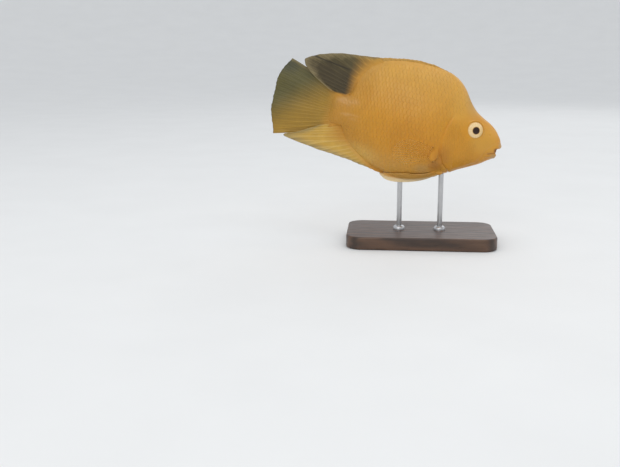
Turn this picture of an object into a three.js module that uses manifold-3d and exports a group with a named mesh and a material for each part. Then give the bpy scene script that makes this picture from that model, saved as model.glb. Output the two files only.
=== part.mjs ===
import * as THREE from 'three';
import { mergeVertices } from 'three/addons/utils/BufferGeometryUtils.js';
import Module from 'manifold-3d';

const wasm = await Module();
wasm.setup();

// Sizes are in millimetres. In the fish's own frame x runs from the tail stalk to the snout,
// y to its left side and z to its back, with the origin in the middle of the tail stalk.

// Pose on the stand
const NOSE_DOWN = THREE.MathUtils.degToRad(13.2);
const TAIL_STALK_HEIGHT = 103;
const TAIL_STALK_BEHIND_STAND = 63;

// Gap between touching pieces, and how deep a fin's root starts under the skin
const PART_GAP = 0.3;
const ROOT_DEPTH = 1.6;

// Body stations from the tail stalk to the snout. Each row holds the place along the body,
// the height of the back, of the belly, the half width, the height of the widest line and
// the roundness of the back, where 2 is an ellipse and less is a sharper ridge.
const BODY_STATIONS = [
  [-9.6, 8.6, -9.6, 1.0, -0.4, 2.0],
  [-6.5, 11.0, -11.7, 2.9, -0.4, 2.0],
  [2, 13.0, -12.3, 5.0, -0.2, 2.0],
  [10, 20.6, -15.8, 7.0, 0.2, 1.9],
  [20, 33.0, -24.8, 9.9, 0.6, 1.8],
  [32, 41.6, -33.6, 13.2, 0.6, 1.75],
  [45, 45.8, -38.6, 16.4, 0, 1.7],
  [58, 47.3, -40.2, 18.9, -1, 1.7],
  [70, 47.6, -37.6, 20.1, -2, 1.7],
  [80, 45.5, -33.0, 20.1, -2, 1.75],
  [88, 39.2, -28.8, 19.0, -1.6, 1.85],
  [94.5, 30.8, -25.0, 17.6, -1.2, 1.95],
  [100.5, 24.6, -21.7, 16.0, -0.8, 2.0],
  [107, 20.7, -18.2, 13.9, -0.4, 2.1],
  [113.5, 17.5, -14.4, 11.4, 0, 2.1],
  [118.4, 14.0, -10.6, 9.0, 0.4, 2.1],
  [121.4, 10.7, -9.0, 7.1, 0.7, 2.1],
  [123.4, 8.2, -7.4, 5.2, 0.9, 2.1],
  [125.4, 4.6, 0.2, 1.8, 2.4, 2.0],
];
const BELLY_ROUNDNESS = 2.05;
const BODY_RINGS = 42;
const BODY_SIDES = 32;
const HALVINGS = 30;

// Lines that part the body, as places in side view
const GILL_LINE = [
  [91, 60], [87.5, 38], [84.5, 24], [82.2, 14.5], [79.8, 6], [78.9, -4],
  [80.3, -12], [84.5, -19], [90, -24.2], [95, -30], [97, -60],
];
const STALK_LINE = [[3, 60], [6.6, 18], [8.6, 0], [6.6, -18], [3, -60]];
const LINE_STEPS = 24;
const BEYOND = 150;
const SLIGHTLY = 1e-3;
const WELD = 1e-4;

// Gill covers, thin plates that stand a little proud of the flank
const COVER_REAR_LINE = GILL_LINE.slice(3, 9);
const COVER_FRONT_LINE = [[92.5, -26], [92.2, -20], [90.2, -12], [89.2, -2], [89.6, 8], [88.4, 15]];
const COVER_PROUD = 0.8;
const COVER_SUNK = 1.2;
const CLEARANCE = 1;

// Lower jaw, from the line of the mouth down to the throat
const JAW_OUTLINE = [
  [140, -1.8], [124, -2.2], [121.5, -2.8], [115.4, -5.3], [113.4, -9], [112.6, -13], [112.4, -30], [140, -30],
];

// Lips and the open mouth
const LIP_RADIUS = 1.6;
const LIP_SIDES = 8;
const LIP_STEPS = 14;
const UPPER_LIP = [[114.8, 7.6, -3.7], [119.4, 6.2, -0.6], [123.2, 3.3, 1.8], [125, 0, 2.4]];
const LOWER_LIP = [[114.9, 7.3, -6.5], [118.4, 5.7, -6.2], [121.1, 3, -5.9], [122, 0, -5.9]];
const MOUTH_AT = [127.4, 0, -2.5];
const MOUTH_RADII = [5.2, 12, 2.9];
const MOUTH_FACES = [16, 10];

// Eyes, set in sockets with a raised rim
const EYE_AT = [101.6, 10.8];
const EYE_PROFILE = [[0, -5], [4, -4.2], [6.1, -2], [6.6, 0], [6, 1.1], [4.3, 1.9], [2.2, 2.35], [0, 2.5]];
const EYE_SUNK = 0.7;
const EYE_FORWARD = THREE.MathUtils.degToRad(13);
const EYE_UPWARD = THREE.MathUtils.degToRad(7);
const EYE_SIDES = 24;
const ORBIT_RADIUS = 7.2;
const ORBIT_ROLL = 0.8;
const ORBIT_ROLL_SIDES = 6;

// Nostrils
const NOSTRIL_AT = [113.9, 9.4];
const NOSTRIL_RADII = [0.8, 0.8, 0.8];
const NOSTRIL_FACES = [8, 6];

// Fin rays: each key ray holds its root's place along the body and the place of its tip. The
// builds hold the number of rays, of rows along them, the thickness of the membrane and of
// the ridge of a ray at root and margin, and how far a ray's tip stands out of the margin.
const DORSAL_SPINES = [
  [78.5, 74, 48.2], [67, 60.5, 50.6], [55, 46.5, 50.9], [43, 33, 49.2], [30.6, 19.5, 46.3],
];
const DORSAL_RAYS = [
  [30, 18.9, 46.2], [22.5, 3, 44.6], [17.5, -13, 42.4], [13.5, -28, 37.6], [10.5, -38.4, 32.6], [8, -34, 25.6],
  [4.5, -23.5, 19], [1, -12.5, 14.2],
];
const DORSAL_SPINES_BUILD = { rays: 17, rows: 5, membrane: [1.4, 0.5], ridge: [2.2, 0.8], notch: 0.5 };
const DORSAL_RAYS_BUILD = { rays: 13, rows: 9, membrane: [1.4, 0.5], ridge: [2.2, 0.8], notch: 0.3 };
const DORSAL_SWAY = -2.4;
const ANAL_RAYS = [
  [44.5, 40.5, -40.2], [39, 32, -38.2], [33.5, 23.5, -36.9], [28, 13.5, -35.4], [23, 3, -34.2],
  [18, -12, -33.2], [13.5, -40, -29], [8, -29, -22.8], [3, -14.3, -15],
];
const ANAL_RAYS_BUILD = { rays: 17, rows: 7, membrane: [1.4, 0.5], ridge: [2.2, 0.8], notch: 0.4 };
const ANAL_SWAY = -2.2;

// Tail fin, from a root inside the tail stalk to a nearly straight rear margin
const TAIL_ROOT_X = -5.5;
const TAIL_ROOT_SHARE = 0.86;
const TAIL_MARGIN = [[-47.3, 30.3], [-54.2, 16.5], [-55.2, 2], [-54.6, -12.5], [-49, -30]];
const TAIL_EDGE_BULGE = 1.9;
const TAIL_SWAY = 3;
const TAIL_BUILD = { rays: 17, rows: 7, membrane: [2.4, 0.5], ridge: [3, 0.8], notch: 0.3 };

// Pectoral fins, each on a fleshy lobe: heights of the roots, and tips from the middle plane
const PECTORAL_ROOT_X = 75;
const PECTORAL_RAYS = [
  [-8.2, [53.5, 22.8, -5.5]], [-10.5, [45.5, 24.2, -11.5]], [-13, [44.5, 24.8, -18.5]],
  [-15.4, [50, 24.6, -25]], [-17.6, [60, 23.2, -27.5]],
];
const PECTORAL_ROOT_PROUD = 0.5;
const PECTORAL_SWAY = 0.8;
const PECTORAL_BUILD = { rays: 13, rows: 5, membrane: [0.9, 0.5], ridge: [1.4, 0.6], notch: 0.2 };
const PECTORAL_LOBE_AT = [75.6, -13];
const PECTORAL_LOBE_RADII = [3.7, 2.2, 6.4];
const PECTORAL_LOBE_FACES = [12, 8];

// Pelvic fins, a spine and five rays folded back along the belly
const PELVIC_BOW = [0, 1.2, -2.6];
const PELVIC_BUILD = { rays: 6, rows: 7, membrane: [1, 0.5], ridge: [1.8, 0.7], notch: 0.3 };
const PELVIC_RAYS = [
  [[84.5, 5.4, -28.3], [54, 5.2, -42]], [[83.8, 6.4, -28.2], [44.5, 4.4, -42]],
  [[83, 7.4, -28], [49, 7, -40]], [[82.2, 8.4, -27.7], [53.5, 9.3, -38]],
  [[81.3, 9.4, -27.4], [59, 11.4, -35.8]], [[80.3, 10.3, -27], [65, 13.2, -33]],
];

// Stand
const BASE_LENGTH = 116;
const BASE_WIDTH = 66;
const BASE_CORNER = 12;
const BASE_BEVEL = 1.2;
const BASE_THICKNESS = 10;
const ROD_RADIUS = 2;
const ROD_SIDES = 24;
const FRONT_ROD_X = 15;
const REAR_ROD_X = -17;
const COLLAR_PROFILE = [[0, 0], [4.6, 0], [4.6, 1.8], [3.4, 3], [0, 3]];

// Colours and finishes
const FLESH = { color: 0xc9933c, roughness: 0.45, metalness: 0 };
const HEAD_FLESH = { color: 0xca9848, roughness: 0.42, metalness: 0 };
const COVER_FLESH = { color: 0xd09a44, roughness: 0.38, metalness: 0 };
const FIN_DARK = { color: 0x544b37, roughness: 0.5, metalness: 0 };
const FIN_GOLD = { color: 0xb98f4a, roughness: 0.5, metalness: 0 };
const FIN_OLIVE = { color: 0x77704a, roughness: 0.5, metalness: 0 };
const FIN_CLEAR = { color: 0xc7a061, roughness: 0.45, metalness: 0 };
const EYE_IRIS = { color: 0xe4c79a, roughness: 0.12, metalness: 0 };
const STAND_WOOD = { color: 0x2b2320, roughness: 0.55, metalness: 0 };
const STAND_STEEL = { color: 0xa8aaad, roughness: 0.3, metalness: 1 };

/** Six times the volume inside a mesh, negative where its faces point inwards. */
function signedVolume(places, triangles) {
  const [a, b, c] = [new THREE.Vector3(), new THREE.Vector3(), new THREE.Vector3()];
  let total = 0;
  for (let i = 0; i < triangles.length; i += 3) {
    a.fromArray(places, triangles[i] * 3);
    b.fromArray(places, triangles[i + 1] * 3);
    c.fromArray(places, triangles[i + 2] * 3);
    total += a.dot(b.cross(c));
  }
  return total;
}

/** A closed solid from a geometry: corners welded, faces without area dropped, all facing out. */
function solidFrom(geometry) {
  const bare = geometry.clone();
  bare.deleteAttribute('normal');
  bare.deleteAttribute('uv');
  const welded = mergeVertices(bare, WELD);
  const corners = welded.index.array;
  const triangles = [];
  for (let i = 0; i < corners.length; i += 3) {
    const [a, b, c] = corners.subarray(i, i + 3);
    if (a !== b && b !== c && c !== a) triangles.push(a, b, c);
  }
  const vertProperties = new Float32Array(welded.attributes.position.array);
  if (signedVolume(vertProperties, triangles) < 0) triangles.reverse();
  return new wasm.Manifold(new wasm.Mesh({
    numProp: 3, vertProperties, triVerts: new Uint32Array(triangles),
  }));
}

/** A solid from corners and triangles. */
function solidFromGrid(places, triangles) {
  const geometry = new THREE.BufferGeometry();
  geometry.setAttribute('position', new THREE.Float32BufferAttribute(places, 3));
  geometry.setIndex(triangles);
  return solidFrom(geometry);
}

/** A named mesh of a solid's largest closed surface. */
function meshFrom(name, solid, finish) {
  const largest = solid.decompose().reduce((best, next) => (next.volume() > best.volume() ? next : best));
  const { vertProperties, triVerts } = largest.getMesh();
  const geometry = new THREE.BufferGeometry();
  geometry.setAttribute('position', new THREE.BufferAttribute(vertProperties, 3));
  geometry.setIndex(new THREE.BufferAttribute(triVerts, 1));
  geometry.computeVertexNormals();
  const mesh = new THREE.Mesh(geometry, new THREE.MeshStandardMaterial(finish));
  mesh.name = name;
  return mesh;
}

// Body

/** A smooth line that passes its places evenly. */
function evenLine(places) {
  return new THREE.CatmullRomCurve3(places.map((place) => new THREE.Vector3(...place)), false, 'catmullrom');
}

const outlineLine = evenLine(BODY_STATIONS.map((row) => row.slice(0, 3)));
const widthLine = evenLine(BODY_STATIONS.map((row) => row.slice(3)));

/** The body's section at t, from 0 at the tail stalk to 1 at the snout. */
function sectionAt(t) {
  const [x, back, belly] = outlineLine.getPoint(t);
  const [halfWidth, widest, roundness] = widthLine.getPoint(t);
  return { x, back, belly, halfWidth, widest, roundness };
}

/** The body's section at a place along the body, found by halving. */
function sectionAtX(x) {
  let low = 0;
  let high = 1;
  for (let i = 0; i < HALVINGS; i++) {
    const middle = (low + high) / 2;
    if (sectionAt(middle).x < x) low = middle;
    else high = middle;
  }
  return sectionAt(low);
}

/** The half width of the body at a place along it and a height. */
function flankAt(x, z) {
  const { back, belly, halfWidth, widest, roundness } = sectionAtX(x);
  const above = z > widest;
  const power = above ? roundness : BELLY_ROUNDNESS;
  const share = Math.abs(z - widest) / (above ? back - widest : widest - belly);
  return halfWidth * (1 - Math.min(share, 1) ** power) ** (1 / power);
}

/** A sine or cosine drawn out to a section of another roundness. */
function squared(value, power) {
  return Math.sign(value) * Math.abs(value) ** (2 / power);
}

/** The whole body without fins, grown evenly in length, height and width. */
function bodySolid(growth) {
  const places = [];
  const triangles = [];
  for (let ring = 0; ring <= BODY_RINGS; ring++) {
    const { x, back, belly, halfWidth, widest, roundness } = sectionAt(ring / BODY_RINGS);
    const ahead = { 0: -growth, [BODY_RINGS]: growth }[ring] ?? 0;
    for (let side = 0; side < BODY_SIDES; side++) {
      const angle = (side / BODY_SIDES) * Math.PI * 2;
      const upper = side < BODY_SIDES / 2;
      const power = upper ? roundness : BELLY_ROUNDNESS;
      const rise = upper ? back - widest : widest - belly;
      const y = (halfWidth + growth) * squared(Math.cos(angle), power);
      const z = widest + (rise + growth) * squared(Math.sin(angle), power);
      places.push(x + ahead, y, z);
      if (ring === BODY_RINGS) continue;
      const next = (side + 1) % BODY_SIDES;
      const [a, b] = [ring * BODY_SIDES + side, ring * BODY_SIDES + next];
      triangles.push(a, b, a + BODY_SIDES, b, b + BODY_SIDES, a + BODY_SIDES);
    }
  }
  for (const ring of [0, BODY_RINGS]) {
    const { x, widest } = sectionAt(ring / BODY_RINGS);
    const centre = places.length / 3;
    places.push(ring ? x + growth : x - growth, 0, widest);
    for (let side = 0; side < BODY_SIDES; side++) {
      const edge = [ring * BODY_SIDES + side, ring * BODY_SIDES + ((side + 1) % BODY_SIDES)];
      triangles.push(centre, ...(ring ? edge : edge.reverse()));
    }
  }
  return solidFromGrid(places, triangles);
}

/** A slab across the fish with an outline in side view, from one place across to another. */
function sideSlab(outline, fromY, toY) {
  const shape = new THREE.Shape(outline.map(([x, z]) => new THREE.Vector2(x, z)));
  const geometry = new THREE.ExtrudeGeometry(shape, { depth: toY - fromY, bevelEnabled: false });
  geometry.rotateX(Math.PI / 2);
  geometry.translate(0, toY, 0);
  return solidFrom(geometry);
}

/** A smooth line through places in side view, moved along the body. */
function smoothLine(places, shift = 0) {
  const line = new THREE.SplineCurve(places.map(([x, z]) => new THREE.Vector2(x + shift, z)));
  return line.getPoints(LINE_STEPS).map(({ x, y }) => [x, y]);
}

/** A slab that takes all that lies on one side of a parting line, half a gap away from it. */
function sideOfLine(line, ahead) {
  const shift = ahead ? PART_GAP / 2 : -PART_GAP / 2;
  const far = ahead ? BEYOND : -BEYOND;
  return sideSlab([...smoothLine(line, shift), [far, line.at(-1)[1]], [far, line[0][1]]], -BEYOND, BEYOND);
}

/** An outline moved outwards from its middle by about the growth on each side. */
function grownOutline(outline, growth) {
  const box = new THREE.Box2().setFromPoints(outline.map(([x, z]) => new THREE.Vector2(x, z)));
  const centre = box.getCenter(new THREE.Vector2());
  return outline.map(([x, z]) => {
    const outward = new THREE.Vector2(x, z).sub(centre);
    return [x + growth * Math.sign(outward.x), z + growth * Math.sign(outward.y)];
  });
}

/** The layer of the flank in the gill cover's outline, on the side where side is 1 or -1. */
function coverLayer(side, growth, proud) {
  const outline = [...smoothLine(COVER_REAR_LINE, -growth), ...smoothLine(COVER_FRONT_LINE, growth)];
  const raised = outline.map(([x, z]) => [x, z + growth * Math.sign(z)]);
  const slab = side > 0 ? sideSlab(raised, 0, BEYOND) : sideSlab(raised, -BEYOND, 0);
  return bodySolid(proud).subtract(bodySolid(-COVER_SUNK - growth)).intersect(slab);
}

/** A round bar along a smooth path and its mirror image on the fish's other side. */
function lipBar(halfPath) {
  const otherHalf = halfPath.slice(0, -1).reverse().map(([x, y, z]) => [x, -y, z]);
  const circle = new THREE.Shape(
    Array.from({ length: LIP_SIDES }, (_, i) => {
      const angle = (i / LIP_SIDES) * Math.PI * 2;
      return new THREE.Vector2(LIP_RADIUS * Math.cos(angle), LIP_RADIUS * Math.sin(angle));
    }),
  );
  const extrudePath = evenLine([...halfPath, ...otherHalf]);
  return solidFrom(new THREE.ExtrudeGeometry(circle, { extrudePath, steps: LIP_STEPS }));
}

/** A sphere drawn out to three radii, with that many faces round it and down it. */
function ellipsoid([x, y, z], radii, faces) {
  const geometry = new THREE.SphereGeometry(1, ...faces);
  geometry.scale(...radii);
  geometry.translate(x, y, z);
  return solidFrom(geometry);
}

/** A solid made round the y axis and set on the eye's place, looking a little forward and up. */
function onEye(geometry, side) {
  const [x, z] = EYE_AT;
  geometry.rotateX(EYE_UPWARD);
  geometry.rotateZ(-EYE_FORWARD);
  geometry.translate(x, flankAt(x, z) - EYE_SUNK, z);
  geometry.scale(1, side, 1);
  return solidFrom(geometry);
}

/** An eyeball, or its socket where it is grown by the gap. */
function eyeSolid(side, growth) {
  const profile = EYE_PROFILE.map(([radius, height]) => {
    const place = new THREE.Vector2(radius, height);
    return place.setLength(place.length() + growth);
  });
  profile[0].x = 0;
  profile.at(-1).x = 0;
  return onEye(new THREE.LatheGeometry(profile, EYE_SIDES), side);
}

/** The raised rim round an eye. */
function orbitRim(side) {
  const ring = new THREE.TorusGeometry(ORBIT_RADIUS, ORBIT_ROLL, ORBIT_ROLL_SIDES, EYE_SIDES);
  ring.rotateX(Math.PI / 2);
  return onEye(ring, side);
}

// Fins

/** A thin blade with two faces of one grid, so that both are split into triangles alike. */
function bladeSolid(sheetAt, halfThicknessAt, columns, rows) {
  const places = [];
  const triangles = [];
  const faceSize = (columns + 1) * (rows + 1);
  for (const face of [1, -1]) {
    for (let i = 0; i < faceSize; i++) {
      const column = i % (columns + 1);
      const [u, v] = [column / columns, Math.floor(i / (columns + 1)) / rows];
      const across = sheetAt(Math.min(u + SLIGHTLY, 1), v).sub(sheetAt(Math.max(u - SLIGHTLY, 0), v));
      const along = sheetAt(u, Math.min(v + SLIGHTLY, 1)).sub(sheetAt(u, Math.max(v - SLIGHTLY, 0)));
      const normal = across.cross(along).normalize();
      places.push(...sheetAt(u, v).addScaledVector(normal, face * halfThicknessAt(column, v)));
    }
  }
  for (let row = 0; row < rows; row++) {
    for (let column = 0; column < columns; column++) {
      const a = row * (columns + 1) + column;
      const [b, c, d] = [a + 1, a + columns + 1, a + columns + 2];
      const [e, f, g, h] = [a, b, c, d].map((corner) => corner + faceSize);
      triangles.push(a, b, d, a, d, c, e, h, f, e, g, h);
    }
  }
  const lastRow = rows * (columns + 1);
  const rim = [
    ...Array.from({ length: columns }, (_, i) => i),
    ...Array.from({ length: rows }, (_, i) => i * (columns + 1) + columns),
    ...Array.from({ length: columns }, (_, i) => lastRow + columns - i),
    ...Array.from({ length: rows }, (_, i) => lastRow - i * (columns + 1)),
  ];
  rim.forEach((a, i) => {
    const b = rim[(i + 1) % rim.length];
    triangles.push(a, a + faceSize, b + faceSize, a, b + faceSize, b);
  });
  return solidFromGrid(places, triangles);
}

/**
 * A fin between a root line and a margin line. Each key ray gives both lines one place. The
 * rays are ridges on the membrane, thick at the root and thin at the margin, and their tips
 * stand out of it by the notch. bend moves places of the sheet across the fish.
 */
function finSolid(keyRays, { rays, rows, membrane, ridge, notch }, bend) {
  const rootLine = evenLine(keyRays.map(([root]) => root));
  const marginLine = evenLine(keyRays.map(([, tip]) => tip));
  const sheetAt = (u, v) => {
    const root = rootLine.getPoint(u);
    const tip = marginLine.getPoint(u);
    const stretch = (notch * Math.cos(2 * Math.PI * (rays - 1) * u)) / root.distanceTo(tip);
    const place = root.lerp(tip, v + stretch * v * v);
    return place.add(bend(u, v));
  };
  const halfThicknessAt = (column, v) => {
    const [atRoot, atMargin] = column % 2 ? membrane : ridge;
    return THREE.MathUtils.lerp(atRoot, atMargin, v) / 2;
  };
  return bladeSolid(sheetAt, halfThicknessAt, (rays - 1) * 2, rows);
}

/** A bow that is nothing at root and margin and one in the middle. */
function arched(v) {
  return 4 * v * (1 - v);
}

/** A sideways bend that grows along each ray. */
function swayed(amount) {
  return (u, v) => new THREE.Vector3(0, amount * v * v, 0);
}

/** Key rays rooted under the line of the back or belly. */
function keyRaysFrom(list, line, depth) {
  return list.map(([rootX, tipX, tipZ]) => [[rootX, 0, sectionAtX(rootX)[line] + depth], [tipX, 0, tipZ]]);
}

const clearOfBody = bodySolid(PART_GAP);

/** The spiny front of the dorsal fin, folded low along the back. */
function spinyDorsal() {
  const keyRays = keyRaysFrom(DORSAL_SPINES, 'back', -ROOT_DEPTH);
  return finSolid(keyRays, DORSAL_SPINES_BUILD, swayed(0)).subtract(clearOfBody);
}

/** The soft rear of the dorsal fin, drawn out to a point over the tail. */
function softDorsal() {
  const keyRays = keyRaysFrom(DORSAL_RAYS, 'back', -ROOT_DEPTH);
  return finSolid(keyRays, DORSAL_RAYS_BUILD, swayed(DORSAL_SWAY)).subtract(clearOfBody);
}

/** The anal fin, spines in front and rays drawn out to a point behind. */
function analFin() {
  const keyRays = keyRaysFrom(ANAL_RAYS, 'belly', ROOT_DEPTH);
  return finSolid(keyRays, ANAL_RAYS_BUILD, swayed(ANAL_SWAY)).subtract(clearOfBody);
}

/** The tail fin, a fan with slightly bowed upper and lower edges. */
function tailFin() {
  const { back, belly } = sectionAtX(TAIL_ROOT_X);
  const last = TAIL_MARGIN.length - 1;
  const keyRays = TAIL_MARGIN.map(([x, z], i) => {
    const rootZ = THREE.MathUtils.lerp(back, belly, i / last) * TAIL_ROOT_SHARE;
    return [[TAIL_ROOT_X, 0, rootZ], [x, 0, z]];
  });
  const bend = (u, v) => {
    const bulge = TAIL_EDGE_BULGE * (1 - 2 * u) * arched(v);
    return new THREE.Vector3(0, TAIL_SWAY * v * v, bulge);
  };
  return finSolid(keyRays, TAIL_BUILD, bend).subtract(clearOfBody);
}

/** A pectoral fin on its fleshy lobe, folded back beside the flank. */
function pectoralFin(side) {
  const keyRays = PECTORAL_RAYS.map(([rootZ, [x, y, z]]) => {
    const rootY = flankAt(PECTORAL_ROOT_X, rootZ) + PECTORAL_ROOT_PROUD;
    return [[PECTORAL_ROOT_X, side * rootY, rootZ], [x, side * y, z]];
  });
  const blade = finSolid(keyRays, PECTORAL_BUILD, swayed(side * PECTORAL_SWAY));
  const [x, z] = PECTORAL_LOBE_AT;
  const lobe = ellipsoid([x, side * flankAt(x, z), z], PECTORAL_LOBE_RADII, PECTORAL_LOBE_FACES);
  return blade.add(lobe).subtract(clearOfBody);
}

/** A pelvic fin folded back along the belly. */
function pelvicFin(side) {
  const keyRays = PELVIC_RAYS.map((pair) => pair.map(([x, y, z]) => [x, side * y, z]));
  const bow = new THREE.Vector3(...PELVIC_BOW).multiply(new THREE.Vector3(1, side, 1));
  const bend = (u, v) => bow.clone().multiplyScalar(arched(v));
  return finSolid(keyRays, PELVIC_BUILD, bend).subtract(clearOfBody);
}

// Body pieces

const upperLip = lipBar(UPPER_LIP);
const lowerLip = lipBar(LOWER_LIP);
const mouth = ellipsoid(MOUTH_AT, MOUTH_RADII, MOUTH_FACES);
const seatProud = COVER_PROUD + CLEARANCE;
const coverSeats = coverLayer(1, PART_GAP, seatProud).add(coverLayer(-1, PART_GAP, seatProud));

/** The head ahead of the gill openings, without the lower jaw. */
function head() {
  let solid = bodySolid(0).intersect(sideOfLine(GILL_LINE, true)).add(upperLip);
  for (const side of [1, -1]) {
    const [x, z] = NOSTRIL_AT;
    const nostril = ellipsoid([x, side * flankAt(x, z), z], NOSTRIL_RADII, NOSTRIL_FACES);
    solid = solid.add(orbitRim(side)).subtract(eyeSolid(side, PART_GAP)).subtract(nostril);
  }
  const jawSpace = sideSlab(grownOutline(JAW_OUTLINE, PART_GAP), -BEYOND, BEYOND);
  return solid.subtract(jawSpace).subtract(mouth).subtract(coverSeats);
}

/** The lower jaw with its lip. */
function lowerJaw() {
  return bodySolid(0).add(lowerLip).intersect(sideSlab(JAW_OUTLINE, -BEYOND, BEYOND)).subtract(mouth);
}

/** The trunk between the gill openings and the tail stalk. */
function trunk() {
  const between = sideOfLine(GILL_LINE, false).intersect(sideOfLine(STALK_LINE, true));
  return bodySolid(0).intersect(between).subtract(coverSeats);
}

/** The tail stalk that carries the tail fin. */
function tailStalk() {
  return bodySolid(0).intersect(sideOfLine(STALK_LINE, false));
}

// Stand

/** A flat base with round corners and a bevelled rim. */
function standBase() {
  const [halfLength, halfWidth] = [BASE_LENGTH / 2 - BASE_BEVEL, BASE_WIDTH / 2 - BASE_BEVEL];
  const corner = BASE_CORNER - BASE_BEVEL;
  const shape = new THREE.Shape();
  shape.absarc(halfLength - corner, halfWidth - corner, corner, 0, Math.PI / 2);
  shape.absarc(corner - halfLength, halfWidth - corner, corner, Math.PI / 2, Math.PI);
  shape.absarc(corner - halfLength, corner - halfWidth, corner, Math.PI, Math.PI * 1.5);
  shape.absarc(halfLength - corner, corner - halfWidth, corner, Math.PI * 1.5, Math.PI * 2);
  const geometry = new THREE.ExtrudeGeometry(shape, {
    depth: BASE_THICKNESS - 2 * BASE_BEVEL,
    bevelThickness: BASE_BEVEL,
    bevelSize: BASE_BEVEL,
    bevelSegments: 2,
    curveSegments: 5,
  });
  geometry.translate(0, 0, BASE_BEVEL);
  return solidFrom(geometry);
}

/** An upright rod in a collar on the base, its top shaped to what it carries. */
function standRod(x, carried) {
  const length = TAIL_STALK_HEIGHT - BASE_THICKNESS;
  const rod = new THREE.CylinderGeometry(ROD_RADIUS, ROD_RADIUS, length, ROD_SIDES);
  rod.translate(0, length / 2, 0);
  const profile = COLLAR_PROFILE.map((place) => new THREE.Vector2(...place));
  const collar = new THREE.LatheGeometry(profile, ROD_SIDES);
  for (const geometry of [rod, collar]) {
    geometry.rotateX(Math.PI / 2);
    geometry.translate(x, 0, BASE_THICKNESS + PART_GAP);
  }
  return solidFrom(rod).add(solidFrom(collar)).subtract(carried);
}

// The model

const fish = new THREE.Group();
fish.rotation.y = NOSE_DOWN;
fish.position.set(-TAIL_STALK_BEHIND_STAND, 0, TAIL_STALK_HEIGHT);
fish.updateMatrix();

fish.add(meshFrom('head', head(), HEAD_FLESH));
fish.add(meshFrom('lower_jaw', lowerJaw(), HEAD_FLESH));
fish.add(meshFrom('trunk', trunk(), FLESH));
fish.add(meshFrom('tail_stalk', tailStalk(), FLESH));
fish.add(meshFrom('dorsal_fin_spiny', spinyDorsal(), FIN_GOLD));
fish.add(meshFrom('dorsal_fin_soft', softDorsal(), FIN_DARK));
fish.add(meshFrom('anal_fin', analFin(), FIN_GOLD));
fish.add(meshFrom('tail_fin', tailFin(), FIN_OLIVE));
for (const [name, side] of [['left', 1], ['right', -1]]) {
  fish.add(meshFrom(`gill_cover_${name}`, coverLayer(side, 0, COVER_PROUD), COVER_FLESH));
  fish.add(meshFrom(`eye_${name}`, eyeSolid(side, 0), EYE_IRIS));
  fish.add(meshFrom(`pectoral_fin_${name}`, pectoralFin(side), FIN_CLEAR));
  fish.add(meshFrom(`pelvic_fin_${name}`, pelvicFin(side), FIN_CLEAR));
}

const carried = clearOfBody.transform(fish.matrix.toArray());

const stand = new THREE.Group();
stand.add(meshFrom('stand_base', standBase(), STAND_WOOD));
stand.add(meshFrom('stand_rod_front', standRod(FRONT_ROD_X, carried), STAND_STEEL));
stand.add(meshFrom('stand_rod_rear', standRod(REAR_ROD_X, carried), STAND_STEEL));

const model = new THREE.Group();
model.add(fish, stand);

export default model;
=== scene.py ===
import math

import bmesh
import bpy
import numpy as np
from mathutils import Matrix, Vector
from mathutils.bvhtree import BVHTree


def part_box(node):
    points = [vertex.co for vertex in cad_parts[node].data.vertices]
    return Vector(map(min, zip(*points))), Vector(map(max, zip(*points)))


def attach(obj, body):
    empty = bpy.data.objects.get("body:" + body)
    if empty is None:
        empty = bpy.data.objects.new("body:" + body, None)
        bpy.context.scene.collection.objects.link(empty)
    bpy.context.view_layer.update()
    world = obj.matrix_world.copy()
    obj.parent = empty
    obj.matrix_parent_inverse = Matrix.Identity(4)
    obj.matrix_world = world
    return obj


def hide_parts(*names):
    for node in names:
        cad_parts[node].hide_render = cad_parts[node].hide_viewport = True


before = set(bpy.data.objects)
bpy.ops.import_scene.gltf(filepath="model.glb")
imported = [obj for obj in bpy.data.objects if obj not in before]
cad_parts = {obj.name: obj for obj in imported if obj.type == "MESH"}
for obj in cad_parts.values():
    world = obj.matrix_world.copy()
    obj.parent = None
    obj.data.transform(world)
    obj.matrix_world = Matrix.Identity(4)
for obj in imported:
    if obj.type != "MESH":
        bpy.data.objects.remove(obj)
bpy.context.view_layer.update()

# Stand base
# A board of dark stained hardwood with round corners and a softened rim, planed and oiled.
# Both rods stand in holes bored into its top.

BASE_CORNER = 0.012
BASE_RIM = 0.0012


def node(tree, kind, inputs=None, **settings):
    """A shader node with its settings. An input is a value, or a socket that is linked to it."""
    made = tree.nodes.new("ShaderNode" + kind)
    for setting, value in settings.items():
        setattr(made, setting, value)
    for socket, value in (inputs or {}).items():
        if isinstance(value, bpy.types.NodeSocket):
            tree.links.new(value, made.inputs[socket])
        else:
            made.inputs[socket].default_value = value
    return made


def calc(tree, operation, *values):
    """One step of arithmetic on values or sockets."""
    return node(tree, "Math", dict(enumerate(values)), operation=operation).outputs[0]


def share(tree, value, low, high):
    """Nothing up to low, all from high on, with a smooth rise between them."""
    inputs = {"Value": value, "From Min": low, "From Max": high}
    return node(tree, "MapRange", inputs, interpolation_type="SMOOTHSTEP").outputs["Result"]


def blended(tree, factor, first, second, blend_type="MIX"):
    """The first colour going over into the second."""
    inputs = {0: factor, 6: first, 7: second}
    return node(tree, "Mix", inputs, data_type="RGBA", blend_type=blend_type).outputs[2]


def noise(tree, place, scale, detail=3.0, roughness=0.5):
    """A cloudy pattern from 0 to 1."""
    inputs = {"Vector": place, "Scale": scale, "Detail": detail, "Roughness": roughness}
    return node(tree, "TexNoise", inputs).outputs["Fac"]


def stretched(tree, place, scale, turn=(0, 0, 0), shift=(0, 0, 0)):
    """The place turned, scaled and moved, for a pattern drawn out in one direction."""
    inputs = {"Vector": place, "Scale": scale, "Rotation": turn, "Location": shift}
    return node(tree, "Mapping", inputs).outputs["Vector"]


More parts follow.
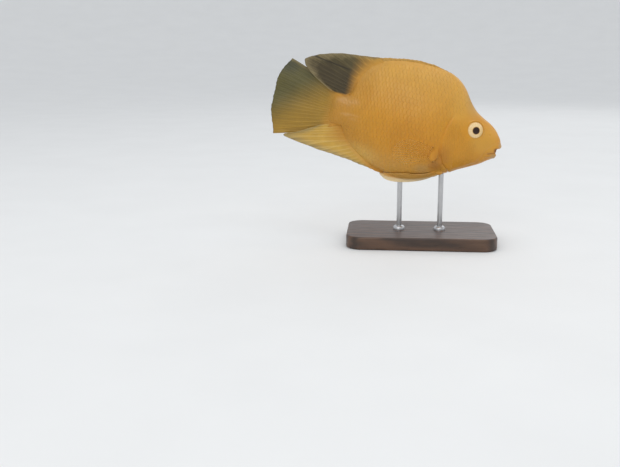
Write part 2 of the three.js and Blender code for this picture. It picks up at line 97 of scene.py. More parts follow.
def paint(red, green, blue):
    """A colour mixed from its amounts of 0 to 255 as seen on a screen."""
    amounts = [amount / 255 for amount in (red, green, blue)]
    linear = [a / 12.92 if a <= 0.04045 else ((a + 0.055) / 1.055) ** 2.4 for a in amounts]
    return (*linear, 1.0)


def shaded(tree, colour, value):
    """A colour made lighter or darker."""
    return node(tree, "HueSaturation", {"Color": colour, "Value": value}).outputs["Color"]


def raised(tree, height, distance, strength=1.0):
    """The surface's direction where a height pattern lifts it."""
    inputs = {"Height": height, "Distance": distance, "Strength": strength}
    return node(tree, "Bump", inputs).outputs["Normal"]


def new_finish(name, **values):
    """A material with its tree and its one shader, set to plain values."""
    material = bpy.data.materials.new(name)
    material.use_nodes = True
    tree = material.node_tree
    shader = tree.nodes["Principled BSDF"]
    for socket, value in values.items():
        shader.inputs[socket.replace("_", " ")].default_value = value
    return material, tree, shader


def fitted(mesh, name, material, slot, *nodes):
    """A piece from a mesh, riding on the one body, with its finish and the nodes it stands for."""
    for polygon in mesh.polygons:
        polygon.use_smooth = True
    mesh.materials.clear()
    mesh.materials.append(material)
    piece = bpy.data.objects.new(name, mesh)
    bpy.context.scene.collection.objects.link(piece)
    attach(piece, "root")
    if nodes:
        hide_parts(*nodes)
    return piece


def mesh_from(bm, name, welded=1e-7):
    """A mesh from a bmesh, its doubles merged and its faces turned outwards."""
    bmesh.ops.remove_doubles(bm, verts=bm.verts, dist=welded)
    bmesh.ops.recalc_face_normals(bm, faces=bm.faces)
    mesh = bpy.data.meshes.new(name)
    bm.to_mesh(mesh)
    bm.free()
    return mesh


def softened(bm, edges, offset, segments):
    """Rounds edges of a shape."""
    bmesh.ops.bevel(
        bm, geom=edges, offset=offset, segments=segments, profile=0.5, affect="EDGES", material=-1,
    )


def stained_wood():
    """Dark stained hardwood: bands of grain along the board and fine open pores."""
    material, tree, shader = new_finish("stained wood", Coat_Weight=0.12, Coat_Roughness=0.35)
    place = node(tree, "TexCoord").outputs["Object"]
    long_grain = stretched(tree, place, (9, 40, 40))
    drift = node(tree, "TexNoise", {"Vector": long_grain, "Scale": 1.4, "Detail": 3.0}).outputs["Color"]
    bent = node(tree, "VectorMath", {0: place, 1: stretched(tree, drift, (0, 0.02, 0.02))})
    rings = node(tree, "TexWave", {
        "Vector": stretched(tree, bent.outputs["Vector"], (1, 55, 80)),
        "Scale": 0.9, "Distortion": 2.4, "Detail": 3.0, "Detail Scale": 1.3,
    }, wave_type="BANDS", bands_direction="Y").outputs["Fac"]
    pores = noise(tree, stretched(tree, place, (60, 1500, 1500)), 1.0, 2.0)
    open_pores = share(tree, pores, 0.62, 0.74)
    grain = blended(tree, rings, paint(58, 42, 32), paint(92, 66, 48))
    colour = blended(tree, calc(tree, "MULTIPLY", open_pores, 0.55), grain, paint(30, 22, 17))
    tree.links.new(colour, shader.inputs["Base Color"])
    tree.links.new(share(tree, pores, -0.6, 1.9), shader.inputs["Roughness"])
    relief = calc(tree, "MULTIPLY_ADD", rings, 0.3, calc(tree, "MULTIPLY", open_pores, -0.8))
    tree.links.new(raised(tree, relief, 0.0001, 0.7), shader.inputs["Normal"])
    return material


low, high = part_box("stand_base")
base_top = high.z
board_matrix = Matrix.Translation((low + high) / 2) @ Matrix.Diagonal((*(high - low), 1))
board = bmesh.new()
bmesh.ops.create_cube(board, size=1, matrix=board_matrix)
upright = [edge for edge in board.edges if abs(edge.verts[0].co.z - edge.verts[1].co.z) > BASE_RIM]
softened(board, upright, BASE_CORNER, 14)
rim = [
    edge for edge in board.edges
    if abs(edge.verts[0].co.z - edge.verts[1].co.z) < BASE_RIM and edge.calc_face_angle(0) > 1
]
softened(board, rim, BASE_RIM, 4)
fitted(mesh_from(board, "base_board"), "base_board", stained_wood(), "stand_wood", "stand_base")

# Stand rods
# Two straight rods of brushed steel, each pressed into a turned collar on the base, with
# their tops running up to the belly that they carry.

ROD_RADIUS = 0.002
ROD_SIDES = 48
COLLAR_PROFILE = [
    (0.0019, 0), (0.0046, 0), (0.0046, 0.0017), (0.0044, 0.002), (0.0036, 0.0029), (0.0033, 0.003),
    (0.0019, 0.003),
]


def brushed_steel():
    """Steel brushed round the rod, with fine lines and a little unevenness."""
    material, tree, shader = new_finish("brushed steel", Metallic=1.0)
    place = node(tree, "TexCoord").outputs["Object"]
    lines = noise(tree, stretched(tree, place, (300, 300, 9000)), 1.0, 3.0)
    cloud = noise(tree, place, 160.0)
    colour = blended(tree, cloud, paint(178, 178, 180), paint(206, 206, 206))
    tree.links.new(colour, shader.inputs["Base Color"])
    tree.links.new(calc(tree, "MULTIPLY_ADD", lines, 0.16, 0.24), shader.inputs["Roughness"])
    tree.links.new(raised(tree, lines, 0.00002, 0.5), shader.inputs["Normal"])
    return material


steel = brushed_steel()
for place_name in ("front", "rear"):
    rod_name = f"rod_{place_name}"
    low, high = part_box(f"stand_{rod_name}")
    middle = (low + high) / 2
    rod = bmesh.new()
    length = high.z - base_top
    bmesh.ops.create_cone(
        rod, cap_ends=True, segments=ROD_SIDES, radius1=ROD_RADIUS, radius2=ROD_RADIUS, depth=length,
        matrix=Matrix.Translation((middle.x, 0, base_top + length / 2)),
    )
    ring = [rod.verts.new((middle.x + radius, 0, base_top + height)) for radius, height in COLLAR_PROFILE]
    outline = [rod.edges.new((ring[i], ring[(i + 1) % len(ring)])) for i in range(len(ring))]
    bmesh.ops.spin(
        rod, geom=ring + outline, cent=(middle.x, 0, 0), axis=(0, 0, 1), angle=math.tau, steps=ROD_SIDES,
        use_merge=True,
    )
    steel_rod = fitted(mesh_from(rod, rod_name), rod_name, steel, "stand_steel", f"stand_{rod_name}")
    steel_rod.data.set_sharp_from_angle(angle=math.radians(40))

# Skin
# One unbroken skin from the lips to the tail stalk, with the gill openings, nostrils, eye
# rims, lips and the fleshy sheaths at the fins' roots. Cast in one and painted golden orange.

# The fish's own frame: x from the tail stalk to the snout, y to its left side, z to its back.
NOSE_DOWN = math.radians(13.2)
POSE = Matrix.Translation((-0.063, 0, 0.103)) @ Matrix.Rotation(NOSE_DOWN, 4, "Y")

# The place along the body, the heights of back and belly, the half width, the height of the
# widest line and the roundness of the back.
STATIONS = np.array([
    (-0.0096, 0.0086, -0.0096, 0.0010, -0.0004, 2.0),
    (-0.0065, 0.0110, -0.0117, 0.0029, -0.0004, 2.0),
    (0.0020, 0.0130, -0.0123, 0.0050, -0.0002, 2.0),
    (0.0100, 0.0206, -0.0158, 0.0070, 0.0002, 1.9),
    (0.0200, 0.0330, -0.0248, 0.0099, 0.0006, 1.8),
    (0.0320, 0.0416, -0.0336, 0.0132, 0.0006, 1.75),
    (0.0450, 0.0458, -0.0386, 0.0164, 0.0000, 1.7),
    (0.0580, 0.0473, -0.0402, 0.0189, -0.0010, 1.7),
    (0.0700, 0.0476, -0.0376, 0.0201, -0.0020, 1.7),
    (0.0800, 0.0455, -0.0330, 0.0201, -0.0020, 1.75),
    (0.0880, 0.0392, -0.0288, 0.0190, -0.0016, 1.85),
    (0.0945, 0.0308, -0.0250, 0.0176, -0.0012, 1.95),
    (0.1005, 0.0246, -0.0217, 0.0160, -0.0008, 2.0),
    (0.1070, 0.0207, -0.0182, 0.0139, -0.0004, 2.1),
    (0.1135, 0.0175, -0.0144, 0.0114, 0.0000, 2.1),
    (0.1184, 0.0140, -0.0106, 0.0090, 0.0004, 2.1),
    (0.1214, 0.0107, -0.0090, 0.0071, 0.0007, 2.1),
    (0.1234, 0.0082, -0.0074, 0.0052, 0.0009, 2.1),
    (0.1254, 0.0046, 0.0002, 0.0018, 0.0024, 2.0),
])
BELLY_ROUNDNESS = 2.05
UNDER_SOLIDS = 0.0003
BODY_COLUMNS = 420
BODY_ROWS = 200
VOXEL = 0.00042
SMOOTHINGS = 4
THINNED_BEHIND = 0.070
THINNED_TO = 0.55

GILL_LINE = np.array([
    (0.0845, 0.0240), (0.0822, 0.0145), (0.0798, 0.0060), (0.0789, -0.0040), (0.0803, -0.0120),
    (0.0845, -0.0190), (0.0900, -0.0242), (0.0950, -0.0300),
])
UPPER_LIP = [
    (0.1148, 0.0076, -0.0037), (0.1194, 0.0062, -0.0006), (0.1230, 0.0033, 0.0016), (0.1247, 0, 0.0021),
]
LOWER_LIP = [
    (0.1149, 0.0073, -0.0065), (0.1184, 0.0057, -0.0062), (0.1211, 0.0030, -0.0059),
    (0.1220, 0, -0.0059),
]
# The radii of each lip in its middle and at the corners of the mouth.
UPPER_LIP_RADII = (0.00165, 0.0011)
LOWER_LIP_RADII = (0.0015, 0.0010)
MOUTH_AT = (0.1276, 0, -0.0016)
MOUTH_SIZE = (0.0100, 0.0240, 0.0050)
MOUTH_TURN = math.radians(-8)
MOUTH_EDGE = 0.0009
EYE_AT = (0.1016, 0.0108)
EYE_SUNK = 0.0007
SOCKET_AT = (0, -0.0020, 0)
SOCKET_RADII = (0.00645, 0.0046, 0.00645)
RIM_RADIUS = 0.0069
RIM_ROLL = 0.0008
EYE_TURN = Matrix.Rotation(math.radians(-13), 4, "Z") @ Matrix.Rotation(math.radians(7), 4, "X")
NOSTRIL_AT = (0.1139, 0.0094)
NOSTRIL_RADII = (0.0008, 0.0012, 0.0007)
# The fleshy lobes that carry the pectoral and the pelvic fins.
LOBE_AT = (0.0756, -0.0130)
LOBE_RADII = (0.0037, 0.0014, 0.0064)
PELVIC_LOBE_AT = (0.0822, 0.0076, -0.0276)
PELVIC_LOBE_RADII = (0.0048, 0.0030, 0.0022)
# The edges, in side view, of the flesh that the back and belly draw out into the fins' roots.
DORSAL_FLESH = np.array([
    (0.0820, 0.0444), (0.0760, 0.0474), (0.0640, 0.0497), (0.0490, 0.0500), (0.0360, 0.0485),
    (0.0270, 0.0466), (0.0205, 0.0450), (0.0140, 0.0408), (0.0095, 0.0342), (0.0066, 0.0275),
    (0.0046, 0.0200), (0.0024, 0.0131),
])
ANAL_FLESH = np.array([
    (0.0520, -0.0398), (0.0450, -0.0400), (0.0340, -0.0376), (0.0235, -0.0325), (0.0140, -0.0265),
    (0.0075, -0.0208), (0.0040, -0.0158), (0.0020, -0.0124),
])
FLESH_TAPER = 3.4
FLESH_EDGE = 0.0005
FLESH_RISE = 0.003


def even_line(places, t):
    """Places on a smooth line that passes the given places evenly, for t from 0 to 1."""
    given = np.asarray(places, float)
    given = np.vstack([2 * given[0] - given[1], given, 2 * given[-1] - given[-2]])
    along = np.clip(t, 0, 1) * (len(given) - 3)
    first = np.minimum(along.astype(int), len(given) - 4)
    w = (along - first)[..., None]
    a, b, c, d = (given[first + step] for step in range(4))
    return b + 0.5 * w * (c - a + w * (2 * a - 5 * b + 4 * c - d + w * (3 * (b - c) + d - a)))


SECTION_STEPS = np.linspace(0, 1, 3001)
SECTIONS = even_line(STATIONS, SECTION_STEPS)


def section_at_x(x):
    """The back, belly, half width, widest height and roundness at places along the body."""
    return [np.interp(x, SECTIONS[:, 0], SECTIONS[:, column]) for column in range(1, 6)]


def flank_at(x, z):
    """The half width of the body at a place along it and a height."""
    back, belly, half_width, widest, roundness = section_at_x(x)
    above = z > widest
    power = np.where(above, roundness, BELLY_ROUNDNESS)
    reach = np.abs(z - widest) / np.where(above, back - widest, widest - belly)
    return half_width * (1 - np.minimum(reach, 1) ** power) ** (1 / power)


def placed_on_body(x, angle, growth=0.0):
    """Places round the body's section, where angle 0 is the left flank and a quarter turn the back."""
    back, belly, half_width, widest, roundness = section_at_x(x)
    upper = np.sin(angle) > 0
    power = 2 / np.where(upper, roundness, BELLY_ROUNDNESS)
    rise = np.where(upper, back - widest, widest - belly)
    y = (half_width + growth) * np.sign(np.cos(angle)) * np.abs(np.cos(angle)) ** power
    z = widest + (rise + growth) * np.sign(np.sin(angle)) * np.abs(np.sin(angle)) ** power
    return np.stack([x, y, z], -1)


def in_pose(places):
    """Places in the fish's own frame, moved to where the fish is held on its stand."""
    turned = np.asarray(places, float) @ np.array(POSE.to_3x3()).T
    return turned + np.array(POSE.translation)


def closed(bm):
    """A shape with its doubles merged, its open ends filled and its faces turned outwards."""
    bmesh.ops.remove_doubles(bm, verts=bm.verts, dist=1e-7)
    open_edges = [edge for edge in bm.edges if edge.is_boundary]
    if open_edges:
        bmesh.ops.holes_fill(bm, edges=open_edges)
    bmesh.ops.recalc_face_normals(bm, faces=bm.faces)
    return bm


def grid_shape(columns, rows, place_at):
    """A grid of quads with its corners moved to place_at(u, v), both from 0 to 1."""
    bm = bmesh.new()
    bmesh.ops.create_grid(bm, x_segments=columns, y_segments=rows, size=0.5)
    flat = np.array([vert.co for vert in bm.verts])
    for vert, place in zip(bm.verts, place_at(flat[:, 0] + 0.5, flat[:, 1] + 0.5)):
        vert.co = place
    return closed(bm)


def blade_shape(columns, rows, sheet, half_thickness, marks=None):
    """A closed blade folded at its margin from one grid, so that both its faces match."""
    bm = bmesh.new()
    bmesh.ops.create_grid(bm, x_segments=columns, y_segments=2 * rows, size=0.5)
    flat = np.array([vert.co for vert in bm.verts])
    u = flat[:, 0] + 0.5
    v = 1 - np.abs(2 * flat[:, 1])
    nearby = 1e-3
    across = sheet(np.minimum(u + nearby, 1), v) - sheet(np.maximum(u - nearby, 0), v)
    along = sheet(u, np.minimum(v + nearby, 1)) - sheet(u, np.maximum(v - nearby, 0))
    normal = np.cross(across, along)
    normal /= np.linalg.norm(normal, axis=1)[:, None] + 1e-12
    offset = np.sign(flat[:, 1]) * half_thickness(u, v)
    for vert, place in zip(bm.verts, sheet(u, v) + normal * offset[:, None]):
        vert.co = place
    for name, values in (marks(u, v) if marks else {}).items():
        layer = bm.verts.layers.float.new(name)
        for vert, value in zip(bm.verts, values):
            vert[layer] = value
    return closed(bm)


def fleshed(x, angle):
    """Places round the body just under its solids, back and belly drawn out to the roots of the fins."""
    place = placed_on_body(x, angle, -UNDER_SOLIDS)
    back, belly, half_width = section_at_x(x)[:3]
    narrow = np.clip(1 - np.abs(place[:, 1]) / half_width, 0, 1) ** FLESH_TAPER
    dorsal = np.interp(x, *DORSAL_FLESH[::-1].T, left=0, right=0) - back
    anal = np.interp(x, *ANAL_FLESH[::-1].T, left=0, right=0) - belly
    drawn = np.where(np.sin(angle) > 0, np.maximum(dorsal, 0), np.minimum(anal, 0)) * narrow
    blunt = FLESH_EDGE * np.minimum(np.abs(drawn) / FLESH_RISE, 1) * np.minimum(np.abs(np.cos(angle)) * 12, 1)
    place[:, 1] += np.sign(place[:, 1]) * blunt
    place[:, 2] += drawn
    return place


def body_form():
    """The body's round form with the flesh at the fins' roots."""
    def place_at(u, v):
        return fleshed(np.interp(u, SECTION_STEPS, SECTIONS[:, 0]), v * math.tau)

    return grid_shape(BODY_COLUMNS, BODY_ROWS, place_at)


def lip_form(half_path, thick, thin):
    """A fleshy lip, thickest in the middle, that runs round the mouth from corner to corner."""
    path = half_path + [(x, -y, z) for x, y, z in reversed(half_path[:-1])]

    def place_at(u, v):
        middle = even_line(path, u)
        ahead = even_line(path, np.minimum(u + 1e-3, 1)) - even_line(path, np.maximum(u - 1e-3, 0))
        ahead /= np.linalg.norm(ahead, axis=1)[:, None]
        side = np.cross(ahead, (0, 0, 1.0))
        side /= np.linalg.norm(side, axis=1)[:, None]
        up = np.cross(side, ahead)
        fullness = np.sin(np.clip(u, 0, 1) * math.pi) ** 0.35
        radius = (thin + (thick - thin) * fullness) * np.minimum(1, 12 * np.minimum(u, 1 - u) + 0.25)
        angle = v * math.tau
        return middle + radius[:, None] * (side * np.cos(angle)[:, None] + up * np.sin(angle)[:, None])

    return grid_shape(80, 20, place_at)


def ball_form(centre, radii):
    """A ball drawn out to three radii."""
    bm = bmesh.new()
    matrix = Matrix.Translation(centre) @ Matrix.Diagonal((*radii, 1))
    bmesh.ops.create_uvsphere(bm, u_segments=48, v_segments=32, radius=1, matrix=matrix)
    return bm


def notch_form():
    """The open mouth, a block with softened edges whose roof slopes as the upper lip does."""
    bm = bmesh.new()
    placed = Matrix.Translation(MOUTH_AT) @ Matrix.Rotation(MOUTH_TURN, 4, "Y")
    bmesh.ops.create_cube(bm, size=1, matrix=placed @ Matrix.Diagonal((*MOUTH_SIZE, 1)))
    softened(bm, bm.edges, MOUTH_EDGE, 4)
    bmesh.ops.recalc_face_normals(bm, faces=bm.faces)
    return bm


def eye_place(side):
    """Where an eye's own frame, looking along its y, sits on the head."""
    x, z = EYE_AT
    seat = Matrix.Translation((x, float(flank_at(x, z)) - EYE_SUNK, z)) @ EYE_TURN
    return Matrix.Diagonal((1, side, 1, 1)) @ seat


def rim_form(side):
    """The soft rim round an eye."""
    def place_at(u, v):
        turn, roll = u * math.tau, v * math.tau
        radius = RIM_RADIUS + RIM_ROLL * np.cos(roll)
        return np.stack([radius * np.cos(turn), RIM_ROLL * np.sin(roll), radius * np.sin(turn)], -1)

    bm = grid_shape(64, 16, place_at)
    bmesh.ops.transform(bm, matrix=eye_place(side), verts=bm.verts)
    bmesh.ops.recalc_face_normals(bm, faces=bm.faces)
    return bm


def joined_object(name, forms):
    """One object that holds several closed forms."""
    whole = bmesh.new()
    for form in forms:
        part = bpy.data.meshes.new(name)
        form.to_mesh(part)
        form.free()
        whole.from_mesh(part)
        bpy.data.meshes.remove(part)
    mesh = bpy.data.meshes.new(name)
    whole.to_mesh(mesh)
    whole.free()
    made = bpy.data.objects.new(name, mesh)
    bpy.context.scene.collection.objects.link(made)
    return made


def thinned(mesh):
    """The same skin with larger faces behind the head, where the scales hide it."""
    form = bpy.data.objects.new("skin_form", mesh)
    bpy.context.scene.collection.objects.link(form)
    behind = form.vertex_groups.new(name="behind the head")
    behind.add([vert.index for vert in mesh.vertices if vert.co.x < THINNED_BEHIND], 1.0, "REPLACE")
    fewer = form.modifiers.new("fewer faces", "DECIMATE")
    fewer.ratio = THINNED_TO
    fewer.vertex_group = behind.name
    shaped = form.evaluated_get(bpy.context.evaluated_depsgraph_get())
    fewer_faces = bpy.data.meshes.new_from_object(shaped)
    bpy.data.objects.remove(form)
    return fewer_faces


def skin_mesh():
    """The skin in the fish's own frame: full forms grown together, hollows cut, edges softened."""
    x_nostril, z_nostril = NOSTRIL_AT
    x_lobe, z_lobe = LOBE_AT
    full = [body_form()]
    full += [lip_form(UPPER_LIP, *UPPER_LIP_RADII), lip_form(LOWER_LIP, *LOWER_LIP_RADII)]
    hollow = [notch_form()]
    for side in (1, -1):
        full.append(rim_form(side))
        y_lobe = side * float(flank_at(x_lobe, z_lobe))
        full.append(ball_form((x_lobe, y_lobe, z_lobe), LOBE_RADII))
        x_pelvic, y_pelvic, z_pelvic = PELVIC_LOBE_AT
        full.append(ball_form((x_pelvic, side * y_pelvic, z_pelvic), PELVIC_LOBE_RADII))
        y_nostril = side * float(flank_at(x_nostril, z_nostril))
        hollow.append(ball_form((x_nostril, y_nostril, z_nostril), NOSTRIL_RADII))
        socket = ball_form(SOCKET_AT, SOCKET_RADII)
        bmesh.ops.transform(socket, matrix=eye_place(side), verts=socket.verts)
        bmesh.ops.recalc_face_normals(socket, faces=socket.faces)
        hollow.append(socket)
    form = joined_object("skin_form", full)
    cutter = joined_object("skin_hollows", hollow)
    grown = form.modifiers.new("grown together", "REMESH")
    grown.mode = "VOXEL"
    grown.voxel_size = VOXEL
    cut = form.modifiers.new("hollows", "BOOLEAN")
    cut.operation = "DIFFERENCE"
    cut.object = cutter
    cut.solver = "MANIFOLD"
    evened = form.modifiers.new("evened", "REMESH")
    evened.mode = "VOXEL"
    evened.voxel_size = VOXEL
    shaped = form.evaluated_get(bpy.context.evaluated_depsgraph_get())
    mesh = bpy.data.meshes.new_from_object(shaped)
    for helper in (form, cutter):
        bpy.data.objects.remove(helper)
    bm = bmesh.new()
    bm.from_mesh(mesh)
    for _ in range(SMOOTHINGS):
        bmesh.ops.smooth_vert(
            bm, verts=bm.verts, factor=0.5, use_axis_x=True, use_axis_y=True, use_axis_z=True,
        )
    bm.to_mesh(mesh)
    bm.free()
    return thinned(mesh)


def off_line(places, line):
    """How far places in side view lie from a smooth line."""
    drawn = even_line(line, np.linspace(0, 1, 120))
    return np.linalg.norm(places[:, None, :] - drawn[None, :, :], axis=2).min(1)


def gill_place(z):
    """How far forward the gill opening lies at a height."""
    return np.interp(z, GILL_LINE[::-1, 1], GILL_LINE[::-1, 0])


def smooth_rise(value, low, high):
    """Nothing up to low, one from high on, smooth between them."""
    rise = np.clip((value - low) / (high - low), 0, 1)
    return rise * rise * (3 - 2 * rise)


# How far the gill cover's edge is lifted and the opening behind it sunk, and where the edge fades.
GILL_LIFT = 0.00040
GILL_SINK = 0.00040
GILL_FADE = (0.0145, 0.0180)
# Folds in the head's skin, as places in side view, with their depth and width.
FOLDS = [
    (
        [(0.0884, 0.0150), (0.0898, 0.0080), (0.0894, -0.0020), (0.0904, -0.0120), (0.0924, -0.0200)],
        0.00022, 0.0009,
    ),
    (
        [(0.1243, 0.0050), (0.1214, 0.0038), (0.1180, 0.0014), (0.1146, -0.0022), (0.1130, -0.0060)],
        0.00035, 0.0008,
    ),
    (
        [(0.1226, -0.0030), (0.1206, -0.0032), (0.1180, -0.0042), (0.1150, -0.0054)],
        0.00045, 0.0005,
    ),
    (
        [(0.1224, -0.0084), (0.1192, -0.0084), (0.1160, -0.0087), (0.1132, -0.0078)],
        0.00035, 0.0008,
    ),
    (
        [(0.1128, -0.0060), (0.1115, -0.0100), (0.1090, -0.0140), (0.1040, -0.0172)],
        0.00025, 0.0010,
    ),
    (
        [(0.1128, -0.0130), (0.1060, -0.0165), (0.0990, -0.0205), (0.0940, -0.0232)],
        0.00022, 0.0008,
    ),
]


def sculpted(mesh):
    """Lifts the gill covers' edges, sinks the gill openings and folds, and evens the rest."""
    count = len(mesh.vertices)
    places = np.empty(count * 3)
    mesh.vertices.foreach_get("co", places)
    places = places.reshape(-1, 3)
    normals = np.empty(count * 3, np.float32)
    mesh.vertex_normals.foreach_get("vector", normals)
    normals = normals.reshape(-1, 3).astype(float)
    x, _, z = places.T
    gill_x = gill_place(z)
    ahead = x - gill_x
    ends = 1 - smooth_rise(z, *GILL_FADE)
    lift = GILL_LIFT * smooth_rise(ahead, 0.0000, 0.0006) * (1 - smooth_rise(ahead, 0.0010, 0.0100))
    sink = GILL_SINK * np.exp(-((ahead + 0.0006) / 0.0006) ** 2)
    height = ends * (lift - sink)
    head = x > 0.086
    side_places = places[head][:, [0, 2]]
    for line, depth, width in FOLDS:
        gap = off_line(side_places, line)
        height[head] -= depth * np.exp(-((gap / width) ** 2))
    places += normals * height[:, None]
    mesh.vertices.foreach_set("co", in_pose(places).ravel())
    mesh.update()
    return mesh


# Soft spots of colour as places in side view: the middle, the reach along and up, the share of
# the reach that is at full strength, that strength, and the colour. Among them are a painted
# highlight on the nape and painted shade inside the mouth.
FLANK_SPOTS_AND_HIGHLIGHT = [
    ((0.058, -0.006), (0.040, 0.022), 0.2, 0.45, (196, 128, 28)),
    # The paler patch on the nape and shoulder is a painted highlight.
    ((0.090, 0.026), (0.018, 0.020), 0.2, 0.40, (208, 160, 72)),
    ((0.098, 0.030), (0.012, 0.012), 0.2, 0.45, (180, 138, 66)),
    ((0.082, -0.014), (0.009, 0.012), 0.2, 0.30, (166, 98, 38)),
    ((0.071, -0.028), (0.010, 0.007), 0.2, 0.50, (176, 138, 84)),
    ((0.079, -0.023), (0.008, 0.006), 0.2, 0.55, (156, 98, 46)),
    ((0.111, 0.004), (0.016, 0.015), 0.3, 0.45, (212, 164, 74)),
    ((0.016, -0.029), (0.026, 0.012), 0.2, 0.75, (214, 170, 84)),
]
MOUTH_SPOTS_AND_SHADE = [
    ((0.1258, 0.0028), (0.0036, 0.0030), 0.4, 0.75, (184, 150, 102)),
    ((0.1222, -0.0062), (0.0050, 0.0030), 0.4, 0.65, (176, 142, 92)),
    # The dark spot at the back of the mouth's notch is painted shade inside the opening; the two above are
    # the lips' own paler colour.
    ((0.1222, -0.0010), (0.0026, 0.0024), 0.3, 0.90, (104, 52, 24)),
]
TAIL_SPOTS = [((-0.050, 0.029), (0.016, 0.014), 0.3, 0.65, (66, 68, 54))]
DORSAL_SPOTS = [((0.008, 0.047), (0.022, 0.0065), 0.4, 0.60, (188, 150, 74))]
# Pale streaked patches on the tail stalk, as places in side view with their reach.
PALE_PATCHES = [((0.0030, 0.0090), (0.0110, 0.0050)), ((0.0080, -0.0022), (0.0120, 0.0034))]


def colour_group():
    """The fish's colours over its whole body, from places in its own frame, with a painted highlight on the
    nape and painted shade inside the mouth and along the groove between the lips.
    """
    group = bpy.data.node_groups.new("Fish Colours", "ShaderNodeTree")
    group.interface.new_socket("Place", in_out="INPUT", socket_type="NodeSocketVector")
    group.interface.new_socket("Color", in_out="OUTPUT", socket_type="NodeSocketColor")
    place = group.nodes.new("NodeGroupInput").outputs["Place"]
    axes = node(group, "SeparateXYZ", {"Vector": place}).outputs
    x, z = axes["X"], axes["Z"]

    def spot(centre, radii, inner):
        """A soft spot round a place in side view, alike on both flanks."""
        offset = node(group, "VectorMath", {0: place, 1: (centre[0], 0, centre[1])}, operation="SUBTRACT")
        reach = (1 / radii[0], 0, 1 / radii[1])
        scaled = node(group, "VectorMath", {0: offset.outputs[0], 1: reach}, operation="MULTIPLY")
        length = node(group, "VectorMath", {0: scaled.outputs[0]}, operation="LENGTH").outputs["Value"]
        return share(group, length, 1.0, inner)

    def side_line(start, end, width):
        """A soft line between two places in side view, alike on both flanks."""
        way = Vector((end[0] - start[0], 0, end[1] - start[1]))
        inputs = {0: place, 1: (start[0], 0, start[1])}
        offset = node(group, "VectorMath", inputs, operation="SUBTRACT").outputs[0]
        flat = node(group, "VectorMath", {0: offset, 1: (1, 0, 1)}, operation="MULTIPLY").outputs[0]
        along = node(group, "VectorMath", {0: flat, 1: way / way.length_squared}, operation="DOT_PRODUCT")
        held = node(group, "Clamp", {"Value": along.outputs["Value"]}).outputs[0]
        on_line = node(group, "VectorMath", {0: way, "Scale": held}, operation="SCALE").outputs[0]
        gap = node(group, "VectorMath", {0: flat, 1: on_line}, operation="DISTANCE").outputs["Value"]
        return share(group, gap, width, 0.0)

    def amount(mask, most):
        return calc(group, "MULTIPLY", mask, most)

    def spotted(colour, spots):
        for centre, radii, inner, most, tone in spots:
            mask = amount(spot(centre, radii, inner), most)
            colour = blended(group, mask, colour, paint(*tone))
        return colour

    cloud = noise(group, place, 70.0, 4.0)
    streaks = noise(group, stretched(group, place, (45, 150, 260)), 1.0, 2.0)
    speckle = noise(group, place, 900.0, 2.0)
    level = calc(group, "ADD", z, calc(group, "MULTIPLY", calc(group, "SUBTRACT", cloud, 0.5), 0.012))
    colour = blended(group, share(group, level, -0.044, -0.012), paint(202, 150, 70), paint(203, 140, 38))
    colour = blended(group, share(group, level, 0.006, 0.044), colour, paint(206, 152, 62))
    colour = spotted(colour, FLANK_SPOTS_AND_HIGHLIGHT)
    colour = blended(group, amount(share(group, x, 0.030, -0.002), 0.55), colour, paint(178, 128, 52))
    streaked = share(group, streaks, 0.30, 0.74)
    for centre, radii in PALE_PATCHES:
        patch = calc(group, "MULTIPLY", spot(centre, radii, 0.3), streaked)
        colour = blended(group, amount(patch, 0.75), colour, paint(214, 168, 112))
    colour = spotted(colour, MOUTH_SPOTS_AND_SHADE)
    # A dark line of painted shade along the groove between the lips.
    slit_shade = side_line((0.1226, -0.0031), (0.1165, -0.0047), 0.0009)
    colour = blended(group, amount(slit_shade, 0.6), colour, paint(124, 76, 34))
    green = calc(group, "MULTIPLY_ADD", z, 27.0, calc(group, "MULTIPLY_ADD", x, -25.0, -0.38))
    olive = blended(group, share(group, green, 0.0, 1.0), paint(160, 124, 44), paint(92, 86, 48))
    olive = spotted(olive, TAIL_SPOTS)
    along = calc(group, "MULTIPLY_ADD", cloud, 0.008, x)
    colour = blended(group, share(group, along, 0.001, -0.013), colour, olive)
    over_tail = calc(group, "MAXIMUM", calc(group, "MULTIPLY_ADD", x, -0.467, 0.0081), 0.0125)
    over_tail = calc(group, "MAXIMUM", over_tail, calc(group, "MULTIPLY_ADD", x, 0.55, 0.0128))
    on_dorsal = share(group, calc(group, "SUBTRACT", z, over_tail), -0.0006, 0.0014)
    rising = calc(group, "MAXIMUM", calc(group, "MULTIPLY_ADD", z, 0.45, -0.0126), 0.0)
    behind = calc(group, "SUBTRACT", calc(group, "ADD", rising, 0.0025), x)
    smoke = share(group, calc(group, "DIVIDE", behind, calc(group, "ADD", rising, 0.005)), -1.0, 1.0)
    smoke = calc(group, "MULTIPLY", smoke, on_dorsal)
    high_up = share(group, calc(group, "ADD", level, calc(group, "MULTIPLY", x, 0.10)), 0.026, 0.042)
    smoky = blended(group, high_up, paint(70, 60, 38), paint(90, 80, 50))
    colour = blended(group, smoke, colour, smoky)
    colour = spotted(colour, DORSAL_SPOTS)
    mottle = calc(group, "MULTIPLY_ADD", cloud, 0.22, 0.89)
    grain = calc(group, "MULTIPLY", mottle, calc(group, "MULTIPLY_ADD", speckle, 0.10, 0.95))
    output = group.nodes.new("NodeGroupOutput")
    group.links.new(shaded(group, colour, grain), output.inputs["Color"])
    return group


def fish_place(tree):
    """A place in the fish's own frame."""
    back_turn = POSE.inverted()
    place = node(tree, "TexCoord").outputs["Object"]
    return stretched(tree, place, (1, 1, 1), tuple(back_turn.to_euler()), tuple(back_turn.translation))


FISH_COLOURS = colour_group()


def fish_colour(tree):
    """The fish's colour at each place, and the place itself."""
    place = fish_place(tree)
    return node(tree, "Group", {"Place": place}, node_tree=FISH_COLOURS).outputs["Color"], place


